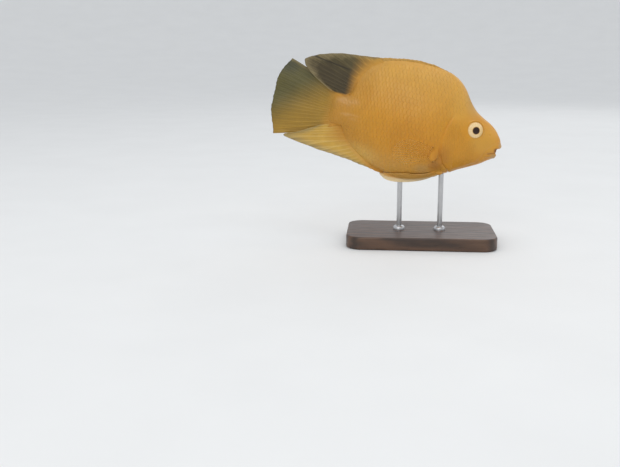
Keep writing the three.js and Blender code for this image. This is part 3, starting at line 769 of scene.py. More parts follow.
def skin_finish():
    """Bare skin with a wet sheen, fine grain and scattered pores."""
    material, tree, shader = new_finish(
        "fish skin", Coat_Weight=0.12, Coat_Roughness=0.22, Subsurface_Weight=0.12, Subsurface_Scale=0.002,
        Subsurface_Radius=(1.0, 0.5, 0.2), Specular_IOR_Level=0.28,
    )
    colour, place = fish_colour(tree)
    tree.links.new(colour, shader.inputs["Base Color"])
    grain = noise(tree, place, 1500.0, 3.0)
    pores = node(tree, "TexVoronoi", {"Vector": place, "Scale": 620.0}).outputs["Distance"]
    relief = calc(tree, "ADD", calc(tree, "MULTIPLY", grain, 0.6), share(tree, pores, 0.05, 0.30))
    tree.links.new(raised(tree, relief, 0.00006, 0.5), shader.inputs["Normal"])
    tree.links.new(calc(tree, "MULTIPLY_ADD", grain, 0.18, 0.34), shader.inputs["Roughness"])
    return material


SKIN_FINISH = skin_finish()
skin = fitted(
    sculpted(skin_mesh()), "skin", SKIN_FINISH, "skin",
    "head", "lower_jaw", "gill_cover_left", "gill_cover_right", "trunk", "tail_stalk",
)

# Scales
# Thin horny plates that lie over one another like tiles, each with its rear edge free, small
# on the cheeks and at the fins' roots. Stamped from clear sheet and laid into the wet skin.

SCALE_PITCHES = np.array([(-0.0080, 0.0020), (0.0150, 0.0025), (0.0500, 0.0030), (0.1000, 0.0027)])
SCALE_ROW = 0.0043
SMALL_SCALE = 0.66
FIN_SCALE = 0.55
SCALE_LENGTH = 1.55
SCALE_AHEAD = 0.75
SCALE_HEIGHT = 0.63
SCALE_LIFT = 0.00013
SCALE_SUNK = 0.00007
SCALE_SKIRT = 0.00030
SCALE_UNEVEN = 0.25
SCALE_ROUND = 0.88
SCALE_CURL = 0.00003
PATCH = 0.003
# The map of the unrolled skin: where the tail starts, its length, each flank's middle and half height.
MAP_START = -0.010
MAP_LENGTH = 0.14
MAP_MIDDLES = {1: 0.75, -1: 0.25}
MAP_HALF = 0.23
MAP_GIRTH = 0.066
GILL_CLEAR = 0.0007
GILL_TOP = 0.0165
FLANK_X = np.linspace(-0.0094, 0.1120, 480)
FLANK_WAY = np.linspace(-0.062, 0.068, 520)


def unrolled_flank():
    """The left flank by the place along it and the way round it from the widest line, and where it ends."""
    angle = np.linspace(-0.5, 0.5, 361) * math.pi
    columns, ends = [], []
    for x in FLANK_X:
        places = fleshed(np.full_like(angle, x), angle)
        way = np.concatenate([[0], np.cumsum(np.linalg.norm(np.diff(places, axis=0), axis=1))])
        way -= way[len(way) // 2]
        columns.append(np.stack([np.interp(FLANK_WAY, way, places[:, axis]) for axis in range(3)], -1))
        ends.append((way[0], way[-1]))
    return np.array(columns), np.array(ends)


FLANK, FLANK_ENDS = unrolled_flank()


def flank_place(x, way):
    """Places on the left flank, from the place along the body and the way round it."""
    a = np.clip((x - FLANK_X[0]) / (FLANK_X[1] - FLANK_X[0]), 0, len(FLANK_X) - 1.001)
    b = np.clip((way - FLANK_WAY[0]) / (FLANK_WAY[1] - FLANK_WAY[0]), 0, len(FLANK_WAY) - 1.001)
    i, j = a.astype(int), b.astype(int)
    p, q = (a - i)[..., None], (b - j)[..., None]
    front = FLANK[i, j] * (1 - q) + FLANK[i, j + 1] * q
    return front * (1 - p) + (FLANK[i + 1, j] * (1 - q) + FLANK[i + 1, j + 1] * q) * p


def laid_out(size, allowed):
    """Staggered scales where allowed: place along, way round, pitch, gap between rows, and row."""
    girth = FLANK_ENDS[:, 1] - FLANK_ENDS[:, 0]
    found = []
    x, column = 0.1080, 0
    while x > FLANK_X[0]:
        pitch = size * np.interp(x, *SCALE_PITCHES.T)
        gap = size * SCALE_ROW * (np.interp(x, FLANK_X, girth) / girth.max()) ** 0.45
        low, high = (np.interp(x, FLANK_X, FLANK_ENDS[:, end]) for end in (0, 1))
        rows = np.arange(math.ceil(low / gap), math.floor(high / gap) + 1)
        found += [(x, row * gap, pitch, gap, row) for row in rows[(rows + column) % 2 == 0]]
        x -= pitch / 2
        column += 1
    found = np.array(found)
    return found[allowed(*flank_place(found[:, 0], found[:, 1]).T)]


def behind_gills(x, z):
    """Places behind the gill openings and, above them, on the nape."""
    gill_x = gill_place(z)
    return np.where(z < 0.0150, x < gill_x - 0.0012, x < 0.0850 + 0.8 * (z - 0.0150))


def at_fin_root(x, y, z):
    """Places on the thin flesh at the fins' roots."""
    return (y < 0.0026) & (x < 0.0560)


def clear_of_lobes(x, z):
    """Places off the lobes that carry the paired fins."""
    lobe_x, lobe_z = LOBE_AT
    off_pectoral = ((x - lobe_x + 0.0008) / 0.0044) ** 2 + ((z - lobe_z) / 0.0072) ** 2 > 1
    pelvic_x, _, pelvic_z = PELVIC_LOBE_AT
    off_pelvic = ((x - pelvic_x) / 0.0060) ** 2 + ((z - pelvic_z) / 0.0045) ** 2 > 1
    return off_pectoral & off_pelvic


def on_cheek(x, y, z):
    """Places on the cheek and the gill cover, off the eye's rim."""
    gill_x = gill_place(z)
    off_eye = np.hypot(x - EYE_AT[0], z - EYE_AT[1]) > 0.0092
    return off_eye & (x > gill_x + 0.0016) & (x < 0.1065) & (z < 0.0135) & (z > -0.0165 - 0.05 * (0.1 - x))


def mark(tree, name):
    """A share that the mesh carries at its corners."""
    return node(tree, "Attribute", attribute_name=name, attribute_type="GEOMETRY").outputs["Fac"]


def scale_tile():
    """One scale with its edge folded down: the way back, the way across, the fold and the faces."""
    bm = bmesh.new()
    bmesh.ops.create_grid(bm, x_segments=3, y_segments=6, size=0.5)
    rim = bmesh.ops.extrude_edge_only(bm, edges=[edge for edge in bm.edges if edge.is_boundary])
    for vert in rim["geom"]:
        if isinstance(vert, bmesh.types.BMVert):
            vert.co.z = -1
    bmesh.ops.holes_fill(bm, edges=[edge for edge in bm.edges if edge.is_boundary])
    bmesh.ops.recalc_face_normals(bm, faces=bm.faces)
    bm.verts.index_update()
    places = np.array([vert.co for vert in bm.verts])
    faces = [[vert.index for vert in face.verts] for face in bm.faces]
    bm.free()
    back = np.interp(places[:, 0] + 0.5, [0, 1 / 3, 2 / 3, 1], [0, 0.50, 0.86, 1])
    across = np.interp(2 * places[:, 1], np.linspace(-1, 1, 7), [-1, -0.8, -0.42, 0, 0.42, 0.8, 1])
    return back, across, places[:, 2] < -0.5, faces


def scale_coat(name, side, fields, seed):
    """All scales of one side as one mesh, laid onto the skin, with their maps and tones."""
    field = np.vstack(fields)
    draws = np.random.default_rng(seed)
    back, across, folded, faces = scale_tile()
    count, corners = len(field), len(back)
    x, way, pitch, gap = (field[:, column, None] for column in range(4))
    lift = 1 + SCALE_UNEVEN * draws.uniform(-1, 1, (count, 1))
    tones = draws.uniform(0, 1, (count, 1))
    rounded = np.sqrt(1 - (SCALE_ROUND * across) ** 2)
    along = x + pitch * (SCALE_AHEAD - SCALE_LENGTH * back * rounded)
    round_way = way + SCALE_HEIGHT * gap * across * (0.86 + 0.14 * np.minimum(1, 2 * back))
    z = flank_place(along, round_way)[..., 2]
    gill_x = gill_place(z)
    behind = np.minimum(along, gill_x - GILL_CLEAR)
    beside = np.where(x < gill_x, behind, np.maximum(along, gill_x + GILL_CLEAR))
    along = np.where(z < GILL_TOP, beside, along)
    ahead = flank_place(along + 2e-4, round_way) - flank_place(along - 2e-4, round_way)
    upward = flank_place(along, round_way + 2e-4) - flank_place(along, round_way - 2e-4)
    normals = np.cross(upward, ahead)
    normals /= np.linalg.norm(normals, axis=2)[..., None] + 1e-12
    mirror = np.array([1, side, 1])
    turn = np.array(POSE.to_3x3()).T
    places = in_pose(flank_place(along, round_way) * mirror).reshape(-1, 3)
    normals = ((normals * mirror) @ turn).reshape(-1, 3)
    height = SCALE_LIFT * lift * back - SCALE_SUNK - SCALE_CURL * across ** 2
    height = np.where(folded, -SCALE_SKIRT, height).ravel()
    for i, (place, normal) in enumerate(zip(places, normals)):
        hit = SKIN_TREE.ray_cast(Vector(place + normal * 0.004), Vector(-normal), 0.008)[0]
        places[i] = np.array(hit or place) + normal * height[i]
    tile = [face[::side] for face in faces]
    mesh = bpy.data.meshes.new(name)
    starts = range(0, count * corners, corners)
    mesh.from_pydata(places, [], [[corner + start for corner in face] for start in starts for face in tile])
    root_u = (x - MAP_START) / MAP_LENGTH
    root_v = MAP_MIDDLES[side] + way * (MAP_HALF / MAP_GIRTH)
    bake = np.stack([root_u + PATCH * (back - 0.5), root_v + PATCH * across / 2], -1).reshape(-1, 2)
    plate = np.stack([np.tile(back, (count, 1)), np.tile(across / 2 + 0.5, (count, 1))], -1).reshape(-1, 2)
    loop_corners = np.empty(len(mesh.loops), np.int32)
    mesh.loops.foreach_get("vertex_index", loop_corners)
    for map_name, values in (("OFBake", bake), ("plate", plate)):
        mesh.uv_layers.new(name=map_name).data.foreach_set("uv", values[loop_corners].ravel())
    layer = mesh.attributes.new("tone", "FLOAT", "POINT")
    layer.data.foreach_set("value", np.repeat(tones, corners))
    mesh.update()
    return mesh


def scale_finish():
    """A clear plate over the skin's colour: paler in its middle, darker at its rear rim as painted shade
    along the free edge, finely ringed.
    """
    material, tree, shader = new_finish(
        "scales", Coat_Weight=0.15, Coat_Roughness=0.18, Specular_IOR_Level=0.30, Subsurface_Weight=0.08,
        Subsurface_Scale=0.002, Subsurface_Radius=(1.0, 0.5, 0.2),
    )
    colour, place = fish_colour(tree)
    plate = node(tree, "SeparateXYZ", {"Vector": node(tree, "UVMap", uv_map="plate").outputs["UV"]}).outputs
    tone = mark(tree, "tone")
    # The rear rim is darkened: painted shade along each scale's free edge.
    rim = share(tree, plate["X"], 0.86, 1.0)
    value = calc(tree, "MULTIPLY_ADD", tone, 0.07, 0.975)
    value = calc(tree, "SUBTRACT", value, calc(tree, "MULTIPLY", rim, 0.07))
    tree.links.new(shaded(tree, colour, value), shader.inputs["Base Color"])
    rings = calc(tree, "SINE", calc(tree, "MULTIPLY", plate["X"], 70.0))
    fine = noise(tree, place, 1500.0, 2.0)
    relief = calc(tree, "ADD", calc(tree, "MULTIPLY", rings, 0.25), fine)
    tree.links.new(raised(tree, relief, 0.00003, 0.4), shader.inputs["Normal"])
    tree.links.new(calc(tree, "MULTIPLY_ADD", fine, 0.16, 0.30), shader.inputs["Roughness"])
    return material


SKIN_TREE = BVHTree.FromObject(skin, bpy.context.evaluated_depsgraph_get())
SCALE_FIELDS = [
    laid_out(1.0, lambda x, y, z: behind_gills(x, z) & clear_of_lobes(x, z) & ~at_fin_root(x, y, z)),
    laid_out(SMALL_SCALE, on_cheek),
    laid_out(FIN_SCALE, at_fin_root),
]
scale_plates = scale_finish()
for side_name, side in (("left", 1), ("right", -1)):
    coat = scale_coat(f"scales_{side_name}", side, SCALE_FIELDS, 21 + side)
    fitted(coat, f"scales_{side_name}", scale_plates, "skin")

# Dorsal fin
# Two webs on stiff rods, a low spiny front and a soft rear drawn out over the tail. Cast thin
# in clear resin with the rays standing out as ridges, tinted smoky, and gold at the root.

ROOT_DEPTH = 0.0016
RAY_INSET = 0.15
DORSAL_SPINES = [
    (0.0785, 0.0746, 0.0475), (0.0670, 0.0605, 0.0505), (0.0550, 0.0465, 0.0508),
    (0.0430, 0.0330, 0.0491), (0.0298, 0.0187, 0.0461),
]
DORSAL_RAYS = [
    (0.0300, 0.0189, 0.0461), (0.0225, 0.0030, 0.0446), (0.0175, -0.0130, 0.0424),
    (0.0135, -0.0276, 0.0378), (0.0105, -0.0366, 0.0324), (0.0080, -0.0328, 0.0252),
    (0.0040, -0.0235, 0.0190), (-0.0020, -0.0125, 0.0136),
]
SOFT = {"membrane": (0.0009, 0.0003), "ridge": (0.0014, 0.0006)}
SPINY = {"membrane": (0.0009, 0.0004), "ridge": (0.0017, 0.0007)}


def rooted(rays, column, depth):
    """Roots under the line of the back or belly, and tips, of rays in the middle plane."""
    roots = [(x, 0, float(section_at_x(x)[column]) + depth) for x, _, _ in rays]
    return roots, [(x, 0, z) for _, x, z in rays]


def ray_share(q, v, forked):
    """How much of a ray is at a place: 1 on its ridge, 0 on the membrane, with q counting the rays."""
    offset = q - np.round(q)
    width = 0.15 - 0.07 * v
    if not forked:
        return np.exp(-((offset / width) ** 2))
    first = 0.20 * smooth_rise(v, 0.30, 1.0)
    second = 0.09 * smooth_rise(v, 0.60, 1.0)
    branches = [offset - a * first - b * second for a in (-1, 1) for b in (-1, 1)]
    width = width - 0.03 * smooth_rise(v, 0.3, 0.8)
    return np.max([np.exp(-((branch / width) ** 2)) for branch in branches], axis=0)


def past_flesh(places, flesh):
    """How far places in side view lie outside the edge of the flesh, less than 0 inside it."""
    line = even_line(flesh, np.linspace(0, 1, 120))
    gaps = places[:, None, :] - line[None, :, :]
    nearest = np.linalg.norm(gaps, axis=2).argmin(1)
    offset = gaps[np.arange(len(places)), nearest]
    ahead = np.gradient(line, axis=0)[nearest]
    outward = (ahead[:, 1] * offset[:, 0] - ahead[:, 0] * offset[:, 1]) * np.sign(line[nearest, 1])
    return np.linalg.norm(offset, axis=1) * np.sign(outward)


def fin_mesh(
    name, ends, rays, build, bend, seed, notch=0.0003, forked=True, across=14, rows=54, flesh=None,
    pose=POSE,
):
    """A fin between its roots and tips: a thin closed web with its rays as ridges on both faces."""
    roots, tips = ends
    lengths = np.random.default_rng(seed).uniform(-0.0004, 0.0004, rays + 2)

    def count(u):
        return u * (rays - 1 + 2 * RAY_INSET) - RAY_INSET

    def sheet(u, v):
        root, tip, q = even_line(roots, u), even_line(tips, u), count(u)
        reach = np.linalg.norm(tip - root, axis=1)
        longer = (notch * np.cos(math.tau * q) + np.interp(q, np.arange(-1, rays + 1), lengths)) / reach
        return root + (tip - root) * (v + longer * v * v)[:, None] + bend(u, v)

    def half_thickness(u, v):
        thin, thick = (ends[0] + (ends[1] - ends[0]) * v for ends in (build["membrane"], build["ridge"]))
        share_of_ray = ray_share(count(u), v, forked)
        sides = np.sqrt(np.clip(np.minimum(u, 1 - u) * (rays - 1) * 5, 0, 1))
        margin = np.sqrt(np.clip((1 - v) * rows / 2.5, 0, 1))
        return (thin + (thick - thin) * share_of_ray) / 2 * sides * margin

    def marks(u, v):
        places = sheet(u, v)
        past = v * 0.018 if flesh is None else past_flesh(places[:, [0, 2]], flesh)
        sheath = np.exp(-np.maximum(past, 0) / 0.0022)
        return {"ray": ray_share(count(u), v, forked), "reach": v, "row": u, "sheath": sheath}

    bm = blade_shape(across * (rays - 1), rows, sheet, half_thickness, marks)
    bmesh.ops.transform(bm, matrix=pose, verts=bm.verts)
    return mesh_from(bm, name)


def wavy(amount, sway, waves=2.0, phase=0.0):
    """A sideways bend of a fin in the middle plane: a sway of its tips and soft ripples along it."""
    def bend(u, v):
        y = sway * v * v + amount * np.sin(math.tau * (waves * u + phase)) * v ** 1.5
        return np.stack([np.zeros_like(y), y, np.zeros_like(y)], -1)

    return bend


def fin_finish(name, tint, clearness, ray_cover=0.7, joints=60.0, coat=0.12):
    """
    A tinted web with denser rays. The tint gives the colours of web and rays and how far the
    body's own gold reaches, and the web between the rays is a little clear.
    """
    material, tree, shader = new_finish(name, Coat_Weight=coat, Coat_Roughness=0.25, Specular_IOR_Level=0.25)
    body, place = fish_colour(tree)
    marks = {each: mark(tree, each) for each in ("ray", "reach", "row", "sheath")}
    cloud = noise(tree, place, 160.0, 3.0)
    web, ray, gold = tint(tree, place, body, marks, calc(tree, "MULTIPLY_ADD", cloud, 0.3, -0.15))
    mottled = shaded(tree, web, calc(tree, "MULTIPLY_ADD", cloud, 0.3, 0.85))
    on_ray = share(tree, marks["ray"], 0.25, 0.8)
    seen = calc(tree, "MULTIPLY_ADD", share(tree, marks["reach"], 0.04, 0.35), 0.5, 0.1)
    lined = blended(tree, calc(tree, "MULTIPLY", on_ray, seen), mottled, ray)
    relief = calc(tree, "MULTIPLY", noise(tree, place, 1400.0, 2.0), 0.5)
    if joints:
        joint = calc(tree, "FRACT", calc(tree, "MULTIPLY", marks["reach"], joints))
        joint_line = calc(tree, "MULTIPLY", share(tree, joint, 0.80, 0.95), on_ray)
        lined = blended(tree, calc(tree, "MULTIPLY", joint_line, 0.15), lined, paint(70, 56, 36))
        relief = calc(tree, "SUBTRACT", relief, joint_line)
    tree.links.new(blended(tree, gold, lined, body), shader.inputs["Base Color"])
    solid = calc(tree, "MAXIMUM", calc(tree, "MULTIPLY", on_ray, ray_cover), gold)
    thinner = calc(tree, "MULTIPLY", calc(tree, "SUBTRACT", 1.0, solid), clearness)
    tree.links.new(calc(tree, "SUBTRACT", 1.0, thinner), shader.inputs["Alpha"])
    tree.links.new(calc(tree, "MULTIPLY_ADD", cloud, 0.15, 0.38), shader.inputs["Roughness"])
    tree.links.new(raised(tree, relief, 0.00008, 0.4), shader.inputs["Normal"])
    return material


def spiny_tint(tree, place, body, marks, drift):
    """Gold as the back is, a little duller towards the margin."""
    rim = calc(tree, "MULTIPLY", share(tree, marks["reach"], 0.30, 0.9), 0.85)
    return paint(184, 144, 74), paint(204, 164, 94), calc(tree, "SUBTRACT", 1.0, rim)


def smoky_tint(tree, place, body, marks, drift):
    """The body's gold going over into smoke, a paler margin, and a dark line of painted shade where the web
    folds between two rays.
    """
    axes = node(tree, "SeparateXYZ", {"Vector": place}).outputs
    margin = calc(tree, "MULTIPLY", share(tree, calc(tree, "ADD", marks["reach"], drift), 0.76, 1.0), 0.8)
    web = blended(tree, margin, body, paint(132, 118, 84))
    # A dark line of painted shade where the web folds between two rays.
    below = calc(tree, "MULTIPLY_ADD", axes["X"], 0.142, -0.0319)
    line = calc(tree, "ABSOLUTE", calc(tree, "ADD", axes["Z"], below))
    fold = calc(tree, "MULTIPLY", share(tree, line, 0.0010, 0.0), share(tree, axes["X"], 0.001, -0.004))
    fold = calc(tree, "MULTIPLY", fold, share(tree, axes["X"], -0.034, -0.030))
    web = blended(tree, calc(tree, "MULTIPLY", fold, 0.7), web, paint(26, 22, 18))
    return web, shaded(tree, web, 1.5), share(tree, marks["sheath"], 0.2, 0.7)


fitted(
    fin_mesh(
        "spiny_dorsal", rooted(DORSAL_SPINES, 0, -ROOT_DEPTH), 17, SPINY, wavy(0.00015, 0.0, 5.0), 11,
        notch=0.00015, forked=False, rows=30, flesh=DORSAL_FLESH,
    ),
    "spiny_dorsal", fin_finish("gold fin", spiny_tint, 0.05), "fin_gold", "dorsal_fin_spiny",
)
fitted(
    fin_mesh(
        "soft_dorsal", rooted(DORSAL_RAYS, 0, -ROOT_DEPTH), 13, SOFT, wavy(0.0004, -0.0024, 2.3, 0.2), 12,
        notch=0.00015, rows=64, flesh=DORSAL_FLESH,
    ),
    "soft_dorsal", fin_finish("smoky fin", smoky_tint, 0.08), "fin_dark", "dorsal_fin_soft",
)

# Anal fin
# One web behind the vent, its first rays stiff and its rear drawn out under the tail, made as
# the dorsal fin is and tinted a paler gold.

ANAL_RAYS = [
    (0.0445, 0.0425, -0.0397), (0.0390, 0.0320, -0.0382), (0.0335, 0.0235, -0.0369),
    (0.0280, 0.0135, -0.0354), (0.0230, 0.0030, -0.0342), (0.0180, -0.0120, -0.0332),
    (0.0135, -0.0400, -0.0290), (0.0080, -0.0290, -0.0228), (-0.0005, -0.0143, -0.0142),
]


def pale_tint(tree, place, body, marks, drift):
    """A yellower gold with pale rays and a greyish margin, the body's own gold at the root."""
    reach = calc(tree, "ADD", marks["reach"], drift)
    web = blended(tree, share(tree, reach, 0.62, 0.98), paint(202, 160, 70), paint(154, 132, 84))
    low_reach = share(tree, reach, 0.55, 0.05)
    return web, paint(216, 182, 104), calc(tree, "MAXIMUM", share(tree, marks["sheath"], 0.2, 0.8), low_reach)


fitted(
    fin_mesh(
        "anal", rooted(ANAL_RAYS, 1, ROOT_DEPTH), 17, SOFT, wavy(0.0004, -0.0022, 2.6, 0.6), 13,
        notch=0.0002, flesh=ANAL_FLESH,
    ),
    "anal", fin_finish("pale gold fin", pale_tint, 0.07), "fin_gold", "anal_fin",
)

# Tail fin
# A broad fan clamped in the tail stalk, olive green and smoky at its upper edge, gold below
# and at its root, cast as the other fins are.

TAIL_ROOT_X = -0.0055
TAIL_ROOT_SHARE = 0.86
TAIL_ROOT_FORWARD = 0.0050
TAIL_MARGIN = [
    (-0.0473, 0.0303), (-0.0542, 0.0165), (-0.0552, 0.0020), (-0.0546, -0.0125), (-0.0490, -0.0300),
]
TAIL_BUILD = {"membrane": (0.0018, 0.0003), "ridge": (0.0021, 0.0006)}
TAIL_EDGE_BULGE = 0.0014
TAIL_SWAY = 0.0030


def tail_bend(u, v):
    """Bowed upper and lower edges, a sway to the left and soft folds along the rays."""
    y = TAIL_SWAY * v * v + 0.0006 * np.sin(math.tau * (2.4 * u + 0.1)) * v ** 1.4
    z = TAIL_EDGE_BULGE * (1 - 2 * u) * 4 * v * (1 - v)
    return np.stack([np.zeros_like(y), y, z], -1)


def tail_root(way_down):
    """A root's place in the tail stalk, where the outermost rays start further forward."""
    outermost = abs(2 * way_down - 1) ** 3
    x = TAIL_ROOT_X + TAIL_ROOT_FORWARD * outermost
    back, belly = (float(height) for height in section_at_x(x)[:2])
    return x, 0, (TAIL_ROOT_SHARE + 0.10 * outermost) * (back + (belly - back) * way_down)


def olive_tint(tree, place, body, marks, drift):
    """The body's gold going over into olive, as the place tells, with slightly paler rays."""
    off_root = share(tree, marks["reach"], 0.05, 0.3)
    edge = calc(tree, "MULTIPLY", share(tree, marks["row"], 0.05, 0.01), off_root)
    web = blended(tree, calc(tree, "MULTIPLY", edge, 0.7), body, paint(150, 134, 88))
    return web, shaded(tree, body, 1.2), share(tree, marks["reach"], 0.20, 0.04)


tail_roots = [tail_root(step / (len(TAIL_MARGIN) - 1)) for step in range(len(TAIL_MARGIN))]
tail_tips = [(x, 0, z) for x, z in TAIL_MARGIN]
fitted(
    fin_mesh("caudal", (tail_roots, tail_tips), 17, TAIL_BUILD, tail_bend, 14, notch=0.0001, rows=64),
    "caudal", fin_finish("olive fin", olive_tint, 0.08), "fin_olive", "tail_fin",
)

# Paired fins
# The pectoral fins fan out from fleshy lobes behind the gill covers, and the pelvic fins lie
# folded under the belly. Both pairs are thin clear webs with pale rays.

PECTORAL_ROOT_X = 0.0750
PECTORAL_RAYS = [
    (-0.0082, (0.0560, 0.0228, -0.0058)), (-0.0105, (0.0475, 0.0242, -0.0098)),
    (-0.0130, (0.0445, 0.0248, -0.0160)), (-0.0154, (0.0468, 0.0247, -0.0222)),
    (-0.0176, (0.0560, 0.0234, -0.0262)),
]
PECTORAL_BUILD = {"membrane": (0.0006, 0.00025), "ridge": (0.0012, 0.0004)}
# Roots and tips of the pelvic rays in side view, from the belly's keel up the flank.
PELVIC_ROOTS = [
    (0.0845, 0, -0.0283), (0.0838, 0, -0.0282), (0.0830, 0, -0.0280), (0.0822, 0, -0.0277),
    (0.0813, 0, -0.0274), (0.0803, 0, -0.0270),
]
PELVIC_TIPS = [
    (0.0435, 0, -0.0415), (0.0398, 0, -0.0399), (0.0425, 0, -0.0386), (0.0475, 0, -0.0372),
    (0.0540, 0, -0.0352), (0.0610, 0, -0.0330),
]
PELVIC_BUILD = {"membrane": (0.0007, 0.0003), "ridge": (0.0013, 0.0005)}
PELVIC_BOW = 0.0059
PELVIC_KEEL = 0.0034
PELVIC_OFF_SKIN = 0.0011


def pectoral_bend(u, v):
    """The blade's slight curl away from the flank, with a ripple."""
    y = 0.0008 * v * v + 0.0003 * np.sin(math.tau * 1.7 * u) * v
    return np.stack([np.zeros_like(y), y, np.zeros_like(y)], -1)


def pelvic_bend(u, v):
    """The bow that lays the blade along the belly's curve, a little off the skin."""
    roots, tips = even_line(PELVIC_ROOTS, u), even_line(PELVIC_TIPS, u)
    place = roots + (tips - roots) * v[:, None]
    drop = PELVIC_BOW * (4 * v * (1 - v)) ** 0.6 * (1 - 0.75 * u)
    lifted = PELVIC_OFF_SKIN * (smooth_rise(v, 0.0, 0.25) * 1.5 - 0.5)
    y = np.maximum(flank_at(place[:, 0], place[:, 2] - drop), PELVIC_KEEL) + lifted
    return np.stack([np.zeros_like(y), y, -drop], -1)


def clear_tint(tree, place, body, marks, drift):
    """A web that is nearly clear, with rays the colour of the body."""
    return paint(206, 150, 64), paint(214, 164, 84), share(tree, marks["reach"], 0.12, 0.0)


def veil_tint(tree, place, body, marks, drift):
    """Gold as the belly is, with a cream edge along the first ray."""
    edge = share(tree, calc(tree, "MULTIPLY_ADD", drift, 0.3, marks["row"]), 0.42, 0.18)
    web = blended(tree, edge, body, paint(232, 206, 158))
    ray = blended(tree, edge, paint(206, 162, 92), paint(236, 212, 166))
    off_edge = calc(tree, "SUBTRACT", 1.0, edge)
    return web, ray, calc(tree, "MULTIPLY", share(tree, marks["reach"], 0.20, 0.02), off_edge)


clear_fin = fin_finish("clear fin", clear_tint, 0.95, 0.22, joints=0, coat=0.0)
veil_fin = fin_finish("veil fin", veil_tint, 0.12, joints=0)
for side_name, side in (("left", 1), ("right", -1)):
    mirrored = POSE @ Matrix.Diagonal((1, side, 1, 1))
    roots = [(PECTORAL_ROOT_X, float(flank_at(PECTORAL_ROOT_X, z)) + 0.0005, z) for z, _ in PECTORAL_RAYS]
    tips = [tip for _, tip in PECTORAL_RAYS]
    fitted(
        fin_mesh(
            f"pectoral_{side_name}", (roots, tips), 13, PECTORAL_BUILD, pectoral_bend, 15, notch=0.0002,
            rows=40, pose=mirrored,
        ),
        f"pectoral_{side_name}", clear_fin, "fin_clear", f"pectoral_fin_{side_name}",
    )
    fitted(
        fin_mesh(
            f"pelvic_{side_name}", (PELVIC_ROOTS, PELVIC_TIPS), 6, PELVIC_BUILD, pelvic_bend, 16,
            notch=0.0002, across=20, rows=48, pose=mirrored,
        ),
        f"pelvic_{side_name}", veil_fin, "fin_clear", f"pelvic_fin_{side_name}",
    )

# Eyes
# Blown glass eyes with a clear dome over a cream iris and a dark pupil, painted from behind
# and set into the sockets with the skin's rim closing round them.

# Where the pupil's middle lies in the eye's square map, a little forward of its centre.
PUPIL_AT = (0.514, 0.486)
EYE_MAP_WIDTH = 0.0132
EYE_PROFILE = [
    (0, -0.0044), (0.0034, -0.0040), (0.0056, -0.0022), (0.0064, 0), (0.0058, 0.0013), (0.0043, 0.0020),
    (0.0022, 0.00242), (0, 0.00255),
]


def eye_finish():
    """The painted iris and pupil under a clear glossy dome, from places in the eye's own frame."""
    material, tree, shader = new_finish(
        "glass eye", Roughness=0.4, Specular_IOR_Level=0.1, Coat_Weight=1.0, Coat_Roughness=0.03,
        Coat_IOR=1.38,
    )
    flat = node(tree, "UVMap", uv_map="eye").outputs["UV"]

    def from_place(x, y):
        return node(tree, "VectorMath", {0: flat, 1: (x, y, 0)}, operation="SUBTRACT").outputs[0]

    centred = from_place(*PUPIL_AT)
    out = node(tree, "VectorMath", {0: centred}, operation="LENGTH").outputs["Value"]
    rim = node(tree, "VectorMath", {0: from_place(0.5, 0.5)}, operation="LENGTH").outputs["Value"]
    around = node(tree, "VectorMath", {0: centred}, operation="NORMALIZE").outputs[0]
    fibres = noise(tree, stretched(tree, around, (9, 9, 9)), 2.2, 4.0)
    cloud = noise(tree, flat, 9.0, 3.0)
    iris = blended(tree, share(tree, fibres, 0.35, 0.70), paint(228, 192, 134), paint(246, 222, 176))
    warmer = calc(tree, "MULTIPLY", share(tree, cloud, 0.45, 0.8), 0.30)
    iris = blended(tree, warmer, iris, paint(226, 178, 96))
    front = share(tree, node(tree, "SeparateXYZ", {"Vector": flat}).outputs["X"], 0.60, 0.95)
    iris = blended(tree, calc(tree, "MULTIPLY", front, 0.7), iris, paint(218, 178, 104))
    iris = blended(tree, share(tree, rim, 0.39, 0.485), iris, paint(198, 148, 64))
    iris = blended(tree, share(tree, out, 0.25, 0.20), iris, paint(206, 150, 72))
    colour = blended(tree, share(tree, out, 0.22, 0.19), iris, paint(42, 20, 9))
    tree.links.new(colour, shader.inputs["Base Color"])
    return material


def turned(bm, places, axis, steps):
    """A shape turned round an axis from the places of its profile."""
    arc = [bm.verts.new(place) for place in places]
    edges = [bm.edges.new(pair) for pair in zip(arc, arc[1:])]
    bmesh.ops.spin(
        bm, geom=arc + edges, cent=(0, 0, 0), axis=axis, angle=math.tau, steps=steps, use_merge=True,
    )


glass_eye = eye_finish()
for side_name, side in (("left", 1), ("right", -1)):
    ball = bmesh.new()
    steps = even_line([(radius, height, 0) for radius, height in EYE_PROFILE], np.linspace(0, 1, 57))
    turned(ball, [(max(radius, 0), height, 0) for radius, height, _ in steps], (0, 1, 0), 72)
    bmesh.ops.remove_doubles(ball, verts=ball.verts, dist=1e-6)
    map_layer = ball.loops.layers.uv.new("eye")
    for face in ball.faces:
        for loop in face.loops:
            place = loop.vert.co / EYE_MAP_WIDTH
            loop[map_layer].uv = (place.x + 0.5, place.z + 0.5)
    bmesh.ops.transform(ball, matrix=POSE @ eye_place(side), verts=ball.verts)
    eye_name = f"eyeball_{side_name}"
    fitted(mesh_from(ball, eye_name), eye_name, glass_eye, "eye", f"eye_{side_name}")

# Camera
# Level with the fish's side and a little above it, so that the fish is at the upper right of
# the picture as a swimming fish is seen through the front of its tank.

LENS = 50.0
SENSOR = 36.0
PICTURE = (620, 467)
FISH_PIXEL = (385.5, 117.4)
FISH_DEPTH = 0.6686
LOOKING_DOWN = math.radians(5.0)

